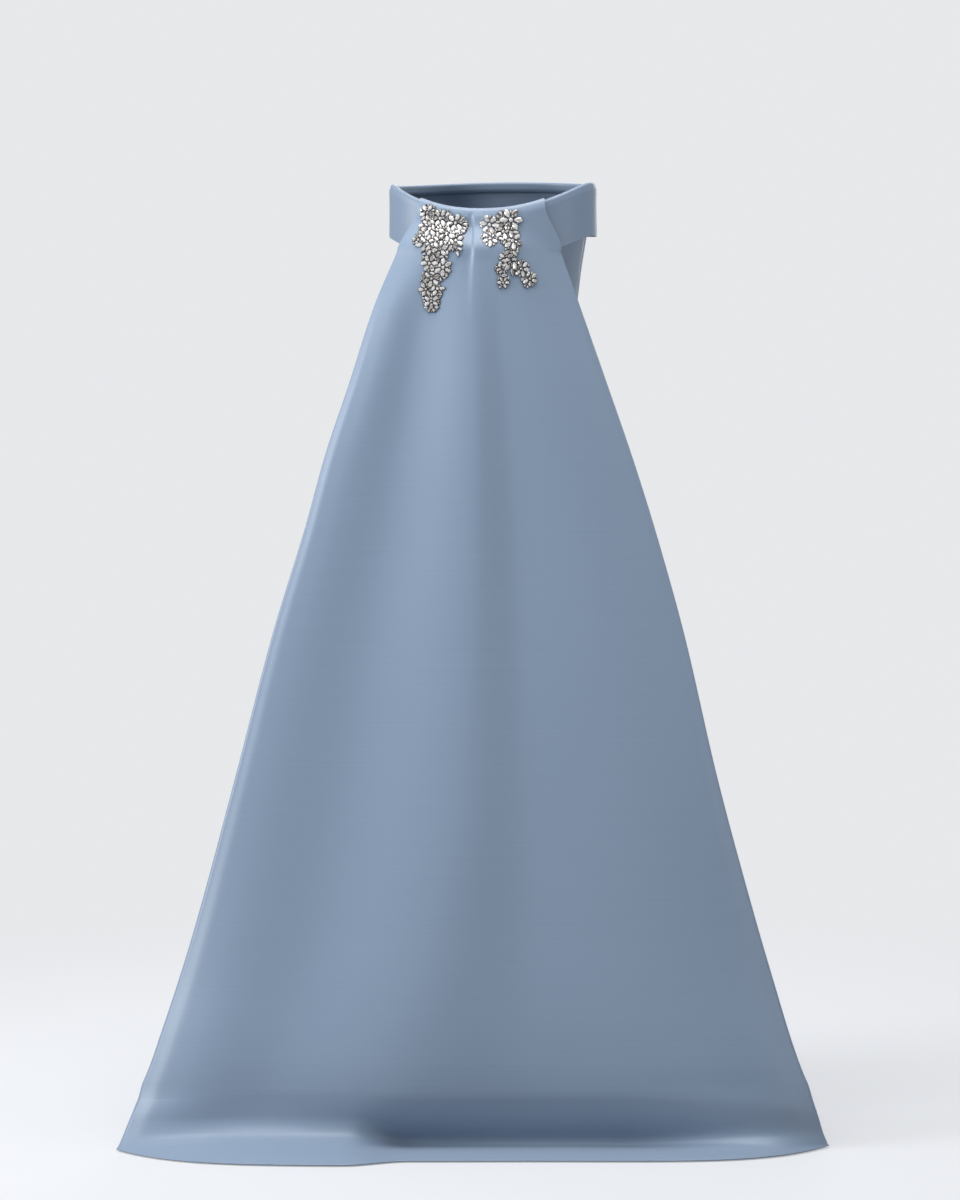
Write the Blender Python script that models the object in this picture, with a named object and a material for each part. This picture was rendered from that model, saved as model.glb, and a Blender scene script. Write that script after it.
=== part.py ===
"""Strapless column gown with a fold-over cuff, and a train that hangs from the back of its neckline to the floor.

Metres, +Z up. The wearer faces -Y, so the train falls on the +Y side, and the wearer's left is +X. The origin is
on the body's axis at the level of the underarms, where the torso holds the gown up. Heights in the tables are
above the floor, as on a pattern cutter's stand, and the floor lies UNDERARM_HEIGHT below the origin.
"""

import math
from collections import namedtuple

import bmesh
import bpy
import numpy as np
from mathutils import Vector
from mathutils.geometry import delaunay_2d_cdt

MM = 0.001

# Driving dimensions.
UNDERARM_HEIGHT = 1.343  # the top edge at the sides
BACK_NECK_HEIGHT = 1.299  # the top edge dips to here at the centre back
FRONT_NECK_HEIGHT = 1.352
COLUMN_HEM_HEIGHT = 0.009
CLOTH = 2.0 * MM  # column wall: outer satin and its backing
CUFF_CLOTH = 2.5 * MM
TRAIN_CLOTH = 2.2 * MM
SEAM_GAP = 0.3 * MM
TRAIN_ON_CUFF = 0.5 * MM
TRAIN_TURN = math.radians(9)  # the train trails a little to the wearer's own left
TRAIN_TOP_HALF_WIDTH = 0.087
TRAIN_TOP_SHIFT = 0.0035
PLEAT_SHIFT = 0.05  # the centre pleat lies this share of the half width to the left of the middle
PLEAT_TACKED = 0.095  # the centre pleat is sewn down for this far, and opens below

# The column on a general figure: how far the cloth stands from the axis at the side, the front and the back.
FigureRow = namedtuple("FigureRow", "height half_width front back")
FIGURE = [
    FigureRow(0.000, 0.200, 0.146, 0.142),
    FigureRow(0.300, 0.186, 0.131, 0.128),
    FigureRow(0.550, 0.174, 0.117, 0.121),
    FigureRow(0.750, 0.172, 0.110, 0.128),
    FigureRow(0.900, 0.171, 0.108, 0.134),
    FigureRow(1.000, 0.153, 0.103, 0.114),
    FigureRow(1.105, 0.119, 0.093, 0.083),
    FigureRow(1.205, 0.1275, 0.103, 0.088),
    FigureRow(1.280, 0.138, 0.119, 0.094),
    FigureRow(1.360, 0.147, 0.114, 0.097),
]
BUST_HEIGHT = 1.278
BUST_APEX = 0.083  # from the centre front to each cup's fullest point
BUST_RISE = 0.019
BUST_SPREAD_ACROSS = 0.046
BUST_SPREAD_UP = 0.052
SECTION_SQUARENESS = 2.25  # 2 is an ellipse
HEM_FLUTES = 9  # soft flutes of the column's hem
HEM_FLUTE_RISE = 0.0055
HEM_FLUTE_TOP = 0.62  # height where they fade out

# The cuff's outer face beyond the column's, from its fold down to its free lower edge.
CuffRow = namedtuple("CuffRow", "down side front back")
CUFF_STAND = [
    CuffRow(0.000, 0.0062, 0.0046, 0.0052),
    CuffRow(0.028, 0.0088, 0.0050, 0.0068),
    CuffRow(0.054, 0.0118, 0.0080, 0.0092),
    CuffRow(0.077, 0.0150, 0.0150, 0.0118),
]
# The fold over the top edge: out from the column's outer face and up from the fold's crown, in millimetres.
FoldRow = namedtuple("FoldRow", "face_out face_up back_out back_up")
CUFF_FOLD = [
    FoldRow(4.9, -5.0, 2.4, -5.4),
    FoldRow(3.0, -1.1, 0.9, -3.5),
    FoldRow(-0.8, 0.0, -0.8, -3.2),
    FoldRow(-4.2, -1.3, -2.4, -3.6),
    FoldRow(-5.0, -5.0, -2.5, -5.4),
    FoldRow(-5.0, -15.0, -2.5, -15.0),
]
COLUMN_BELOW_FOLD = 4.2 * MM  # the column's own edge lies inside the fold
TRAIN_FOLD = [
    FoldRow(-7.9, -13.0, -5.5, -13.0),
    FoldRow(-7.9, -4.0, -5.5, -4.4),
    FoldRow(-5.3, 1.7, -4.4, -0.7),
    FoldRow(-0.8, 2.9, -0.8, 0.5),
    FoldRow(4.6, 1.2, 3.5, -0.7),
    FoldRow(8.0, -5.0, 5.5, -5.4),
]

# The train, in axes turned by TRAIN_TURN: how far its edges reach to the wearer's left and right, and how far
# behind the axis its edges and its middle hang.
TrainRow = namedtuple("TrainRow", "height left right edge_behind middle_behind roundness")
TRAIN = [
    TrainRow(1.240, 0.137, 0.097, 0.093, 0.1260, 2.4),
    TrainRow(1.160, 0.170, 0.125, 0.108, 0.1380, 2.4),
    TrainRow(1.050, 0.205, 0.163, 0.130, 0.1560, 2.5),
    TrainRow(0.950, 0.238, 0.197, 0.150, 0.1720, 2.6),
    TrainRow(0.850, 0.265, 0.228, 0.170, 0.1890, 2.7),
    TrainRow(0.700, 0.310, 0.269, 0.200, 0.2190, 2.8),
    TrainRow(0.500, 0.361, 0.314, 0.240, 0.2640, 3.0),
    TrainRow(0.300, 0.414, 0.367, 0.275, 0.3150, 3.2),
    TrainRow(0.220, 0.438, 0.390, 0.291, 0.3375, 3.3),
    TrainRow(0.150, 0.461, 0.4105, 0.312, 0.3565, 3.5),
    TrainRow(0.110, 0.4745, 0.424, 0.323, 0.3655, 3.8),
    TrainRow(0.085, 0.4850, 0.4345, 0.328, 0.3690, 4.1),
]
# Its last stretch breaks on the floor. Its middle bellies out, tucks under and turns out flat. Towards both sides
# it slopes out instead, longest on the left.
BreakRow = namedtuple(
    "BreakRow",
    "left right edge_height edge_behind middle_height middle_behind left_height left_behind "
    "right_height right_behind roundness",
)
TRAIN_BREAK = [
    BreakRow(0.4900, 0.4400, 0.0660, 0.331, 0.0750, 0.3690, 0.0780, 0.3690, 0.0740, 0.3735, 4.4),
    BreakRow(0.5005, 0.4485, 0.0400, 0.335, 0.0400, 0.3600, 0.0480, 0.3680, 0.0470, 0.3775, 5.0),
    BreakRow(0.5085, 0.4545, 0.0200, 0.337, 0.0140, 0.3500, 0.0270, 0.3790, 0.0300, 0.3870, 5.5),
    BreakRow(0.5130, 0.4590, 0.0090, 0.337, 0.0042, 0.3600, 0.0170, 0.4020, 0.0185, 0.4010, 6.0),
    BreakRow(0.5158, 0.4612, 0.0040, 0.337, 0.0080, 0.4030, 0.0105, 0.4320, 0.0095, 0.4180, 6.0),
    BreakRow(0.5175, 0.4630, 0.0024, 0.337, 0.0023, 0.4370, 0.0023, 0.4640, 0.0023, 0.4370, 6.0),
]
BREAK_SIDE = 0.27  # where across the train the middle's break and the left slope meet
BREAK_BLEND = 0.09
BREAK_LEFT_TRAIL = 0.030  # on the floor the left edge trails this much further
BREAK_RIGHT_SLOPE = (0.42, 0.92)  # shares across the right half where its slope begins and is whole

# The train's soft vertical folds, as the line of its section at each height: how far each crest and valley lies
# across the half width, from the left edge at 1 to the right edge at -1, and its rise in millimetres.
FoldLine = namedtuple(
    "FoldLine",
    "height left_edge left_ridge_at left_ridge left_valley_at left_valley crest_at crest "
    "right_valley_at right_valley right_ridge_at right_ridge right_edge",
)
TRAIN_FOLDS = [
    FoldLine(1.225, 0, 0.84, 0, 0.50, 0.0, 0.05, 1, -0.22, 0, -0.45, 0, 0),
    FoldLine(1.150, 7, 0.84, 8, 0.50, -3.0, 0.04, 9, -0.22, 3, -0.46, 2, 0),
    FoldLine(1.050, 10, 0.86, 10, 0.50, -4.0, 0.02, 14, -0.22, 5, -0.48, 4, 0),
    FoldLine(0.850, 10, 0.88, 9, 0.52, -4.5, 0.03, 17, -0.22, 6, -0.52, 6, 0),
    FoldLine(0.500, 10, 0.88, 8, 0.54, -4.5, 0.04, 17, -0.22, 6, -0.62, 7, 3),
    FoldLine(0.300, 10, 0.88, 8, 0.56, -5.0, 0.10, 16, -0.20, 4, -0.74, 9, 6),
    FoldLine(0.160, 8, 0.88, 7, 0.60, -5.0, 0.16, 14, -0.18, 3, -0.84, 13, 10),
    FoldLine(0.070, 4, 0.88, 4, 0.62, -4.5, 0.22, 11, -0.18, 1, -0.88, 14, 12),
    FoldLine(0.010, 0, 0.88, 0, 0.62, 0.0, 0.24, 1, -0.18, 0, -0.88, 5, 4),
]
EDGE_ROLL = 0.0035  # the side edges turn in by this much
EDGE_ROLL_SHARE = 0.06

# Grid sizes. The column and the cuff share their lines, so the gap between them stays even.
QUARTER_COLUMNS = 12
CUFF_LINES = (0.077, 0.056, 0.034, 0.015)  # down from the fold's crown
COLUMN_ROWS = 17  # below the cuff
TRAIN_HANGING_ROWS = 20
TRAIN_BREAK_ROWS = 11
TRAIN_SIDE_COLUMNS = 14

# The crystal sprays, in millimetres: out from the centre pleat, and down from the top of the centre back.
# A flower is a ring of petals round a round stone. A sprig is a row of leaf pairs with one leaf at its tip.
# Angles run from straight out towards straight down.
Motif = namedtuple("Motif", "kind out down angle size count")
LEFT_SPRAY = [
    Motif("flower", 27, 19, 10, 11.0, 6),
    Motif("flower", 50, 12, 0, 11.0, 6),
    Motif("flower", 71, 3, 20, 10.0, 5),
    Motif("flower", 40, 35, 35, 10.5, 6),
    Motif("flower", 66, 27, 5, 11.0, 6),
    Motif("flower", 27, 45, 25, 9.5, 6),
    Motif("sprig", 62, 49, 5, 11.5, 2),
    Motif("flower", 83, 43, 0, 7.5, 6),
    Motif("sprig", 27, 55, 110, 8.5, 1),
    Motif("flower", 50, 57, 15, 9.5, 6),
    Motif("flower", 64, 77, 0, 10.0, 6),
    Motif("flower", 44, 83, 30, 10.5, 6),
    Motif("flower", 60, 99, 20, 10.0, 6),
    Motif("flower", 68, 114, 5, 8.5, 6),
    Motif("flower", 51, 113, 0, 9.0, 6),
    Motif("flower", 60, 131, 30, 9.0, 6),
]
RIGHT_SPRAY = [
    Motif("flower", 22, 22, 10, 11.5, 6),
    Motif("flower", 53, 15, 0, 13.0, 6),
    Motif("flower", 22, 42, 30, 9.5, 6),
    Motif("flower", 41, 32, 0, 10.0, 5),
    Motif("flower", 54, 45, 20, 11.0, 6),
    Motif("sprig", 52, 58, 95, 10.0, 1),
    Motif("sprig", 55, 72, 122, 13.5, 2),
    Motif("sprig", 53, 77, 80, 11.5, 1),
    Motif("flower", 43, 105, 0, 7.0, 6),
    Motif("flower", 68, 85, 10, 9.5, 6),
    Motif("flower", 81, 99, 25, 9.0, 6),
]
PETAL_WIDTH = 0.62  # of its length
LEAF_WIDTH = 0.48
STONE_GAP = 0.30  # between neighbouring stones
STONE_RISE = 3.6  # a stone's crest above the spray's back
GIRDLE_RISE = 1.9
RIM_RISE = 1.0
SETTING_RIM = 2.2  # the metal setting reaches this far past a stone
WIRE_WIDTH = 2.6  # between motifs
SPRAY_STANDOFF = 0.8
SPRAY_GRID = 8.0

# Colours (linear), roughness and metallic values.
Finish = namedtuple("Finish", "red green blue roughness metallic")
SATIN = Finish(0.215, 0.285, 0.400, 0.38, 0.0)
SATIN_SHADE = Finish(0.185, 0.250, 0.360, 0.42, 0.0)
CRYSTAL = Finish(0.640, 0.620, 0.600, 0.15, 0.35)


# ---- small helpers ----


def clear_scene():
    for obj in list(bpy.data.objects):
        bpy.data.objects.remove(obj)


def ease(share):
    """0 below 0, 1 above 1, and a smooth step between."""
    share = min(1.0, max(0.0, share))
    return share * share * (3.0 - 2.0 * share)


def mix(first, second, share):
    return first + (second - first) * share


def smooth_column(places, values, at):
    """A value read from a table's column along a smooth line that never overshoots its rows."""
    places = np.asarray(places, float)
    values = np.asarray(values, float)
    if at <= places[0]:
        return float(values[0])
    if at >= places[-1]:
        return float(values[-1])
    slopes = np.diff(values) / np.diff(places)
    same_way = slopes[:-1] * slopes[1:] > 0
    inner = np.where(same_way, 2 * slopes[:-1] * slopes[1:] / np.where(same_way, slopes[:-1] + slopes[1:], 1), 0)
    tangents = np.concatenate([[slopes[0]], inner, [slopes[-1]]])
    row = int(np.searchsorted(places, at, side="right")) - 1
    step = places[row + 1] - places[row]
    t = (at - places[row]) / step
    return float(
        values[row] * (2 * t**3 - 3 * t**2 + 1)
        + values[row + 1] * (3 * t**2 - 2 * t**3)
        + step * tangents[row] * (t**3 - 2 * t**2 + t)
        + step * tangents[row + 1] * (t**3 - t**2)
    )


def read_row(rows, key, at):
    """Every column of a table at one value of its key column, as a row."""
    places = [getattr(row, key) for row in rows]
    if places[0] > places[-1]:
        rows = rows[::-1]
        places = places[::-1]
    fields = rows[0]._fields
    return type(rows[0])(*(smooth_column(places, [getattr(row, f) for row in rows], at) for f in fields))


def at_height(x, y, height):
    return Vector((x, y, height - UNDERARM_HEIGHT))


def make_material(name, finish):
    material = bpy.data.materials.new(name)
    material.use_nodes = True
    shader = material.node_tree.nodes["Principled BSDF"]
    shader.inputs["Base Color"].default_value = (finish.red, finish.green, finish.blue, 1.0)
    shader.inputs["Roughness"].default_value = finish.roughness
    shader.inputs["Metallic"].default_value = finish.metallic
    return material


def add_object(name, bm, material, smooth_angle=40):
    """Puts a finished bmesh in the scene as one named piece."""
    bmesh.ops.recalc_face_normals(bm, faces=bm.faces)
    mesh = bpy.data.meshes.new(name)
    bm.to_mesh(mesh)
    bm.free()
    mesh.materials.append(material)
    mesh.shade_smooth()
    mesh.set_sharp_from_angle(angle=math.radians(smooth_angle))
    obj = bpy.data.objects.new(name, mesh)
    bpy.context.scene.collection.objects.link(obj)
    return obj


def cloth_wall(name, face, back, material):
    """A closed cloth wall between two grids of points, each a list of rows: the face outside, the back inside."""
    bm = bmesh.new()
    outer = [[bm.verts.new(point) for point in row] for row in face]
    inner = [[bm.verts.new(point) for point in row] for row in back]
    last_row = len(face) - 1
    last_column = len(face[0]) - 1
    for r in range(last_row):
        for c in range(last_column):
            for grid in (outer, inner):
                bm.faces.new((grid[r][c], grid[r][c + 1], grid[r + 1][c + 1], grid[r + 1][c]))
    for r in (0, last_row):
        for c in range(last_column):
            bm.faces.new((outer[r][c], outer[r][c + 1], inner[r][c + 1], inner[r][c]))
    for c in (0, last_column):
        for r in range(last_row):
            bm.faces.new((outer[r][c], outer[r + 1][c], inner[r + 1][c], inner[r][c]))
    return add_object(name, bm, material)


def grid_normals(points, outwards):
    """The unit normal at each point of a grid, turned to the side that outwards(point) points to."""
    p = np.array(points, float)
    along = np.gradient(p, axis=0)
    across = np.gradient(p, axis=1)
    normals = np.cross(along, across)
    normals /= np.linalg.norm(normals, axis=2, keepdims=True)
    reference = np.array([[outwards(point) for point in row] for row in p])
    flip = np.sign((normals * reference).sum(axis=2, keepdims=True))
    return normals * np.where(flip == 0, 1, flip)


def neck_height(angle):
    """The top edge's height. Angle 0 is the centre front, and 180 degrees the centre back."""
    side_share = math.sin(angle) ** 2
    if math.cos(angle) < 0:
        return mix(BACK_NECK_HEIGHT, UNDERARM_HEIGHT, side_share)
    return mix(FRONT_NECK_HEIGHT, UNDERARM_HEIGHT, side_share)


def column_point(angle, height):
    """A point of the column's outer face. Angle runs from the centre front to the wearer's left."""
    row = read_row(FIGURE, "height", height)
    sine = math.sin(angle)
    cosine = math.cos(angle)
    power = 2.0 / SECTION_SQUARENESS
    x = row.half_width * math.copysign(abs(sine) ** power, sine)
    depth = row.front if cosine > 0 else row.back
    y = -depth * math.copysign(abs(cosine) ** power, cosine)
    if cosine > 0:
        cup_across = (abs(x) - BUST_APEX) / BUST_SPREAD_ACROSS
        cup_up = (height - BUST_HEIGHT) / BUST_SPREAD_UP
        y -= BUST_RISE * math.exp(-(cup_across**2) - cup_up**2)
    flute = HEM_FLUTE_RISE * ease(1 - height / HEM_FLUTE_TOP) * math.cos(HEM_FLUTES * angle)
    reach = math.hypot(x, y)
    grown = 1 + flute / reach
    return at_height(x * grown, y * grown, height)


def outward(angle, height):
    """The horizontal direction straight out from the column's face."""
    step = math.radians(1.5)
    ahead = column_point(angle + step, height)
    behind = column_point(angle - step, height)
    tangent = ahead - behind
    return Vector((tangent.y, -tangent.x, 0)).normalized()


def column_panel(name, start, end, columns, material):
    """One panel of the column between two seams, from the hem up into the cuff's fold."""
    face = []
    back = []
    below_cuff = [1 - (1 - r / COLUMN_ROWS) ** 1.2 for r in range(COLUMN_ROWS)]  # closer rows at the bust
    for row in below_cuff + list(CUFF_LINES) + [COLUMN_BELOW_FOLD]:
        face_row = []
        back_row = []
        for c in range(columns + 1):
            angle = mix(start, end, c / columns)
            height = neck_height(angle) - row
            if row in below_cuff:
                height = mix(COLUMN_HEM_HEIGHT, neck_height(angle) - CUFF_LINES[0], row)
            point = column_point(angle, height)
            if c in (0, columns):
                inwards = 1 if c == 0 else -1
                direction = column_point(angle + inwards * 0.02, height) - point
                point = point + direction.normalized() * (SEAM_GAP / 2)
            face_row.append(point)
            back_row.append(point - outward(angle, height) * CLOTH)
        face.append(face_row)
        back.append(back_row)
    return cloth_wall(name, face, back, material)


def build_column(material):
    quarter = math.pi / 2
    column_panel("column_front", -quarter, quarter, 2 * QUARTER_COLUMNS, material)
    column_panel("column_back_left", quarter, math.pi, QUARTER_COLUMNS, material)
    column_panel("column_back_right", -math.pi, -quarter, QUARTER_COLUMNS, material)


# ---- the cuff ----


def cuff_stand(angle, down):
    """How far the cuff's outer face stands off the column at this distance down from the fold."""
    row = read_row(CUFF_STAND, "down", down)
    side_share = math.sin(angle) ** 2
    middle = row.front if math.cos(angle) > 0 else row.back
    return mix(middle, row.side, side_share)


def cuff_point(angle, down, out):
    """A point beyond the cuff's outer face by out, at this distance down from the fold's crown."""
    height = neck_height(angle) - down
    base = column_point(angle, height)
    return base + outward(angle, height) * (cuff_stand(angle, down) + out)


def fold_point(angle, out_mm, up_mm):
    """A point of a fold over the neckline, measured from the column's outer face and the fold's crown."""
    crown = neck_height(angle)
    height = crown + min(0.0, up_mm * MM)
    base = column_point(angle, height)
    return base + outward(angle, height) * (out_mm * MM) + Vector((0, 0, crown + up_mm * MM - height))


def build_cuff(material):
    """One band round the top edge, folded over it, with its ends at the centre back."""
    face_rows = []
    back_rows = []
    quarter_step = math.pi / 2 / QUARTER_COLUMNS
    angles = [c * quarter_step for c in range(-2 * QUARTER_COLUMNS, 2 * QUARTER_COLUMNS + 1)]
    end_gap = SEAM_GAP / FIGURE[-1].half_width
    angles[0] += end_gap
    angles[-1] -= end_gap
    for down in CUFF_LINES:
        face_rows.append([cuff_point(angle, down, 0) for angle in angles])
        back_rows.append([cuff_point(angle, down, -CUFF_CLOTH) for angle in angles])
    for fold in CUFF_FOLD:
        face_rows.append([fold_point(angle, fold.face_out, fold.face_up) for angle in angles])
        back_rows.append([fold_point(angle, fold.back_out, fold.back_up) for angle in angles])
    return cloth_wall("cuff", face_rows, back_rows, material)


# ---- the train ----


def train_axes(across, behind, height):
    """A point given in the train's own turned axes."""
    cosine = math.cos(TRAIN_TURN)
    sine = math.sin(TRAIN_TURN)
    return at_height(across * cosine - behind * sine, across * sine + behind * cosine, height)


def span_place(across, left, right):
    """Where a share from -1 to 1 lies between the train's right and left edges."""
    return (left - right) / 2 + across * (left + right) / 2


def fold_section(height):
    """The folds' places across and their rises at one height, from the right edge to the left."""
    row = read_row(TRAIN_FOLDS, "height", height)
    places = [-1, row.right_ridge_at, row.right_valley_at, row.crest_at, row.left_valley_at, row.left_ridge_at, 1]
    rises = [row.right_edge, row.right_ridge, row.right_valley, row.crest, row.left_valley, row.left_ridge]
    return places, rises + [row.left_edge]


def fold_rise(across, section):
    """How far the soft vertical folds push the cloth out, at a share across the half width."""
    return smooth_column(*section, across) * MM


def edge_roll(across, height):
    """How far the side edges turn in. They start to once the train is clear of the cuff."""
    return EDGE_ROLL * ease((abs(across) - 1 + EDGE_ROLL_SHARE) / EDGE_ROLL_SHARE) * ease((1.22 - height) / 0.15)


def clear_of_cuff(point):
    """Moves a point of the train's face out to where it lies on the cuff, if it would sink in."""
    height = point.z + UNDERARM_HEIGHT
    row = read_row(FIGURE, "height", height)
    side_share = min(1.0, (point.x / row.half_width) ** 2)
    crown = mix(BACK_NECK_HEIGHT, UNDERARM_HEIGHT, side_share)
    stand = read_row(CUFF_STAND, "down", crown - height)
    lying = TRAIN_CLOTH + TRAIN_ON_CUFF + 0.6 * MM
    wide = abs(point.x) / (row.half_width + stand.side + lying)
    deep = abs(point.y) / (row.back + stand.back + lying)
    reached = (wide**SECTION_SQUARENESS + deep**SECTION_SQUARENESS) ** (1 / SECTION_SQUARENESS)
    if reached >= 1:
        return point
    return Vector((point.x / reached, point.y / reached, point.z))


def hanging_section(across, height, row, folds):
    """A point of the train's face where it hangs free, at a share from -1, its right edge, to 1, its left."""
    edge = abs(across) ** row.roundness
    behind = mix(row.middle_behind, row.edge_behind, edge) - edge_roll(across, height)
    behind += fold_rise(across, folds)
    return train_axes(span_place(across, row.left, row.right), behind, height)


def breaking_section(across, row, folds):
    """A point of the train's last stretch, which breaks on the floor."""
    to_left = ease((across - BREAK_SIDE) / BREAK_BLEND / 2 + 0.5)
    begins, whole = BREAK_RIGHT_SLOPE
    to_right = ease((-across - begins) / (whole - begins))
    height = mix(mix(row.middle_height, row.left_height, to_left), row.right_height, to_right)
    behind = mix(mix(row.middle_behind, row.left_behind, to_left), row.right_behind, to_right)
    edge = abs(across) ** row.roundness
    roll = edge_roll(across, row.edge_height) * ease(row.edge_height / 0.03)
    height = mix(height, row.edge_height, edge)
    trail = BREAK_LEFT_TRAIL * max(across, 0) * (1 - row.edge_height / TRAIN_BREAK[0].edge_height)
    behind = mix(behind, row.edge_behind + trail, edge) - roll + fold_rise(across, folds)
    return train_axes(span_place(across, row.left, row.right), behind, height)


def neckline_section(across, down):
    """A point of the train's face where it is sewn over the cuff, at a distance down from the cuff's crown."""
    half_angle = math.asin(TRAIN_TOP_HALF_WIDTH / 0.147)
    shift = math.asin(TRAIN_TOP_SHIFT / 0.147)
    angle = math.pi - shift - across * half_angle
    return angle, cuff_point(angle, down, TRAIN_CLOTH + TRAIN_ON_CUFF)


def pleat_shares(opened):
    """Where the pleat's two lips and the two corners of its floor lie across the half width."""
    lip = mix(0.0, 0.060, opened)
    floor = mix(0.0, 0.022, opened)
    return lip, floor


def train_columns(opened, half_reach):
    """Shares across the train, and each column's depth inside the pleat as a share of it."""
    lip, floor = pleat_shares(opened)
    slit = SEAM_GAP / half_reach
    lip += 2 * slit
    floor += slit
    side = [mix(lip, 1.0, c / TRAIN_SIDE_COLUMNS) for c in range(TRAIN_SIDE_COLUMNS + 1)]
    shares = [-s for s in reversed(side)] + [-floor, floor] + side
    shift = PLEAT_SHIFT * (1 - opened)
    shares = [s + shift * (1 - abs(s)) for s in shares]
    depths = [0.0] * len(side) + [1.0, 1.0] + [0.0] * len(side)
    return shares, depths


def train_stations():
    """The train's face below the neckline fold, row by row."""
    stations = []
    top = BACK_NECK_HEIGHT
    free = TRAIN[0].height
    last = TRAIN[-1].height
    heights = [top - down for down in reversed(CUFF_LINES[1:])]
    shares = [(r / TRAIN_HANGING_ROWS) ** 1.5 for r in range(1, TRAIN_HANGING_ROWS + 1)]
    heights += [mix(free, last, share) for share in shares]
    for height in heights:
        dropped = top - height
        opened = ease((dropped - PLEAT_TACKED) / 0.22)
        on_cuff = 1 - ease((dropped - 0.010) / (top - free - 0.010))
        depth = 6.0 * MM * ease((dropped - 0.045) / 0.04) * (1 - ease((dropped - PLEAT_TACKED) / 0.26))
        row = read_row(TRAIN, "height", height)
        folds = fold_section(height)
        shares, depths = train_columns(opened, (row.left + row.right) / 2)
        points = []
        for across in shares:
            hang = hanging_section(across, height, row, folds)
            if on_cuff > 0:
                _, sewn = neckline_section(across, dropped)
                hang = clear_of_cuff(hang.lerp(sewn, on_cuff))
            points.append(hang)
        stations.append((points, depths, depth))
    steps = range(len(TRAIN_BREAK))
    for r in range(TRAIN_BREAK_ROWS):
        station = (len(TRAIN_BREAK) - 1) * r / (TRAIN_BREAK_ROWS - 1)
        row = BreakRow(*(smooth_column(steps, [getattr(b, f) for b in TRAIN_BREAK], station) for f in BreakRow._fields))
        folds = fold_section(row.middle_height)
        shares, depths = train_columns(1.0, TRAIN_BREAK[0].right)
        stations.append(([breaking_section(across, row, folds) for across in shares], depths, 0.0))
    return stations


def train_fold_rows(shares):
    """The rows of the train's fold over the neckline, from its end inside to the front of the fold."""
    angles = [neckline_section(across, 0.0)[0] for across in shares]
    face = [[fold_point(angle, fold.face_out, fold.face_up) for angle in angles] for fold in TRAIN_FOLD]
    back = [[fold_point(angle, fold.back_out, fold.back_up) for angle in angles] for fold in TRAIN_FOLD]
    return face, back


def build_train(material):
    """One panel: folded over the neckline, pleated at the centre, hanging free and breaking on the floor.

    It gives back the smooth face below the fold, as rows of points and normals, for what is sewn on it.
    """
    stations = train_stations()
    points = [row for row, _, _ in stations]
    normals = grid_normals(points, lambda point: (0, 1, 0.3))
    shares, _ = train_columns(0.0, TRAIN_TOP_HALF_WIDTH)
    face_rows, back_rows = train_fold_rows(shares)
    sheet = face_rows[-2:] + points
    for (row, depths, depth), row_normals in zip(stations, normals):
        face_row = []
        back_row = []
        for point, share, normal in zip(row, depths, row_normals):
            normal = Vector(normal)
            outer = point - normal * (depth * share)
            face_row.append(outer)
            back_row.append(outer - normal * TRAIN_CLOTH)
        spread_pleat_back(back_row, depth)
        face_rows.append(face_row)
        back_rows.append(back_row)
    cloth_wall("train", face_rows, back_rows, material)
    return sheet, grid_normals(sheet, lambda point: (0, 1, 0.3))


def spread_pleat_back(back_row, depth):
    """Keeps the wall's thickness on both sides of the pleat's slit."""
    middle = len(back_row) // 2
    share = min(1.0, depth / (3 * MM))
    left = back_row[middle]
    right = back_row[middle - 1]
    sideways = (left - right).normalized()
    back_row[middle] = left + sideways * (TRAIN_CLOTH * share)
    back_row[middle - 1] = right - sideways * (TRAIN_CLOTH * share)
    back_row[middle + 1] = back_row[middle + 1] + sideways * (TRAIN_CLOTH * 1.4 * share)
    back_row[middle - 2] = back_row[middle - 2] - sideways * (TRAIN_CLOTH * 1.4 * share)


# ---- the crystal sprays, laid out flat in millimetres ----

Stone = namedtuple("Stone", "outline crest")


def placed(points, x, y, angle):
    cosine = math.cos(angle)
    sine = math.sin(angle)
    return [(x + px * cosine - py * sine, y + px * sine + py * cosine) for px, py in points]


def pointed_stone(x, y, angle, length, width, lean):
    """A marquise, or a pear when its full part leans back from the tip. It starts at x, y and points along angle."""
    side = width / 2
    full = length * (0.5 - lean)
    flat = [(0, 0), (full - length * 0.16, -side), (full + length * 0.16, -side), (length, 0)]
    flat += [(full + length * 0.16, side), (full - length * 0.16, side)]
    crest = [(full - length * 0.2, 0), (full + length * 0.2, 0)]
    return Stone(placed(flat, x, y, angle), placed(crest, x, y, angle))


def round_stone(x, y, angle, radius):
    corners = [(radius * math.cos(k * math.pi / 3), radius * math.sin(k * math.pi / 3)) for k in range(6)]
    return Stone(placed(corners, x, y, angle), [(x, y)])


def motif_stones(motif):
    """A motif's stones, its middle first."""
    turn = math.radians(motif.angle)
    if motif.kind == "flower":
        yield round_stone(motif.out, motif.down, turn, motif.size * 0.24)
        for k in range(motif.count):
            angle = turn + 2 * math.pi * k / motif.count
            x, y = placed([(motif.size * 0.30, 0)], motif.out, motif.down, angle)[0]
            lean = 0.0 if k % 2 else -0.10
            yield pointed_stone(x, y, angle, motif.size, motif.size * PETAL_WIDTH, lean)
        return
    leaf = motif.size
    for k in range(motif.count):
        x, y = placed([(leaf * 0.62 * k, 0)], motif.out, motif.down, turn)[0]
        for side in (1, -1):
            angle = turn + side * math.radians(50)
            start = placed([(leaf * 0.24, 0)], x, y, angle)[0]
            yield pointed_stone(*start, angle, leaf, leaf * LEAF_WIDTH, 0.0)
    x, y = placed([(leaf * 0.62 * motif.count, 0)], motif.out, motif.down, turn)[0]
    yield pointed_stone(x, y, turn, leaf, leaf * LEAF_WIDTH, 0.06)


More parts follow.
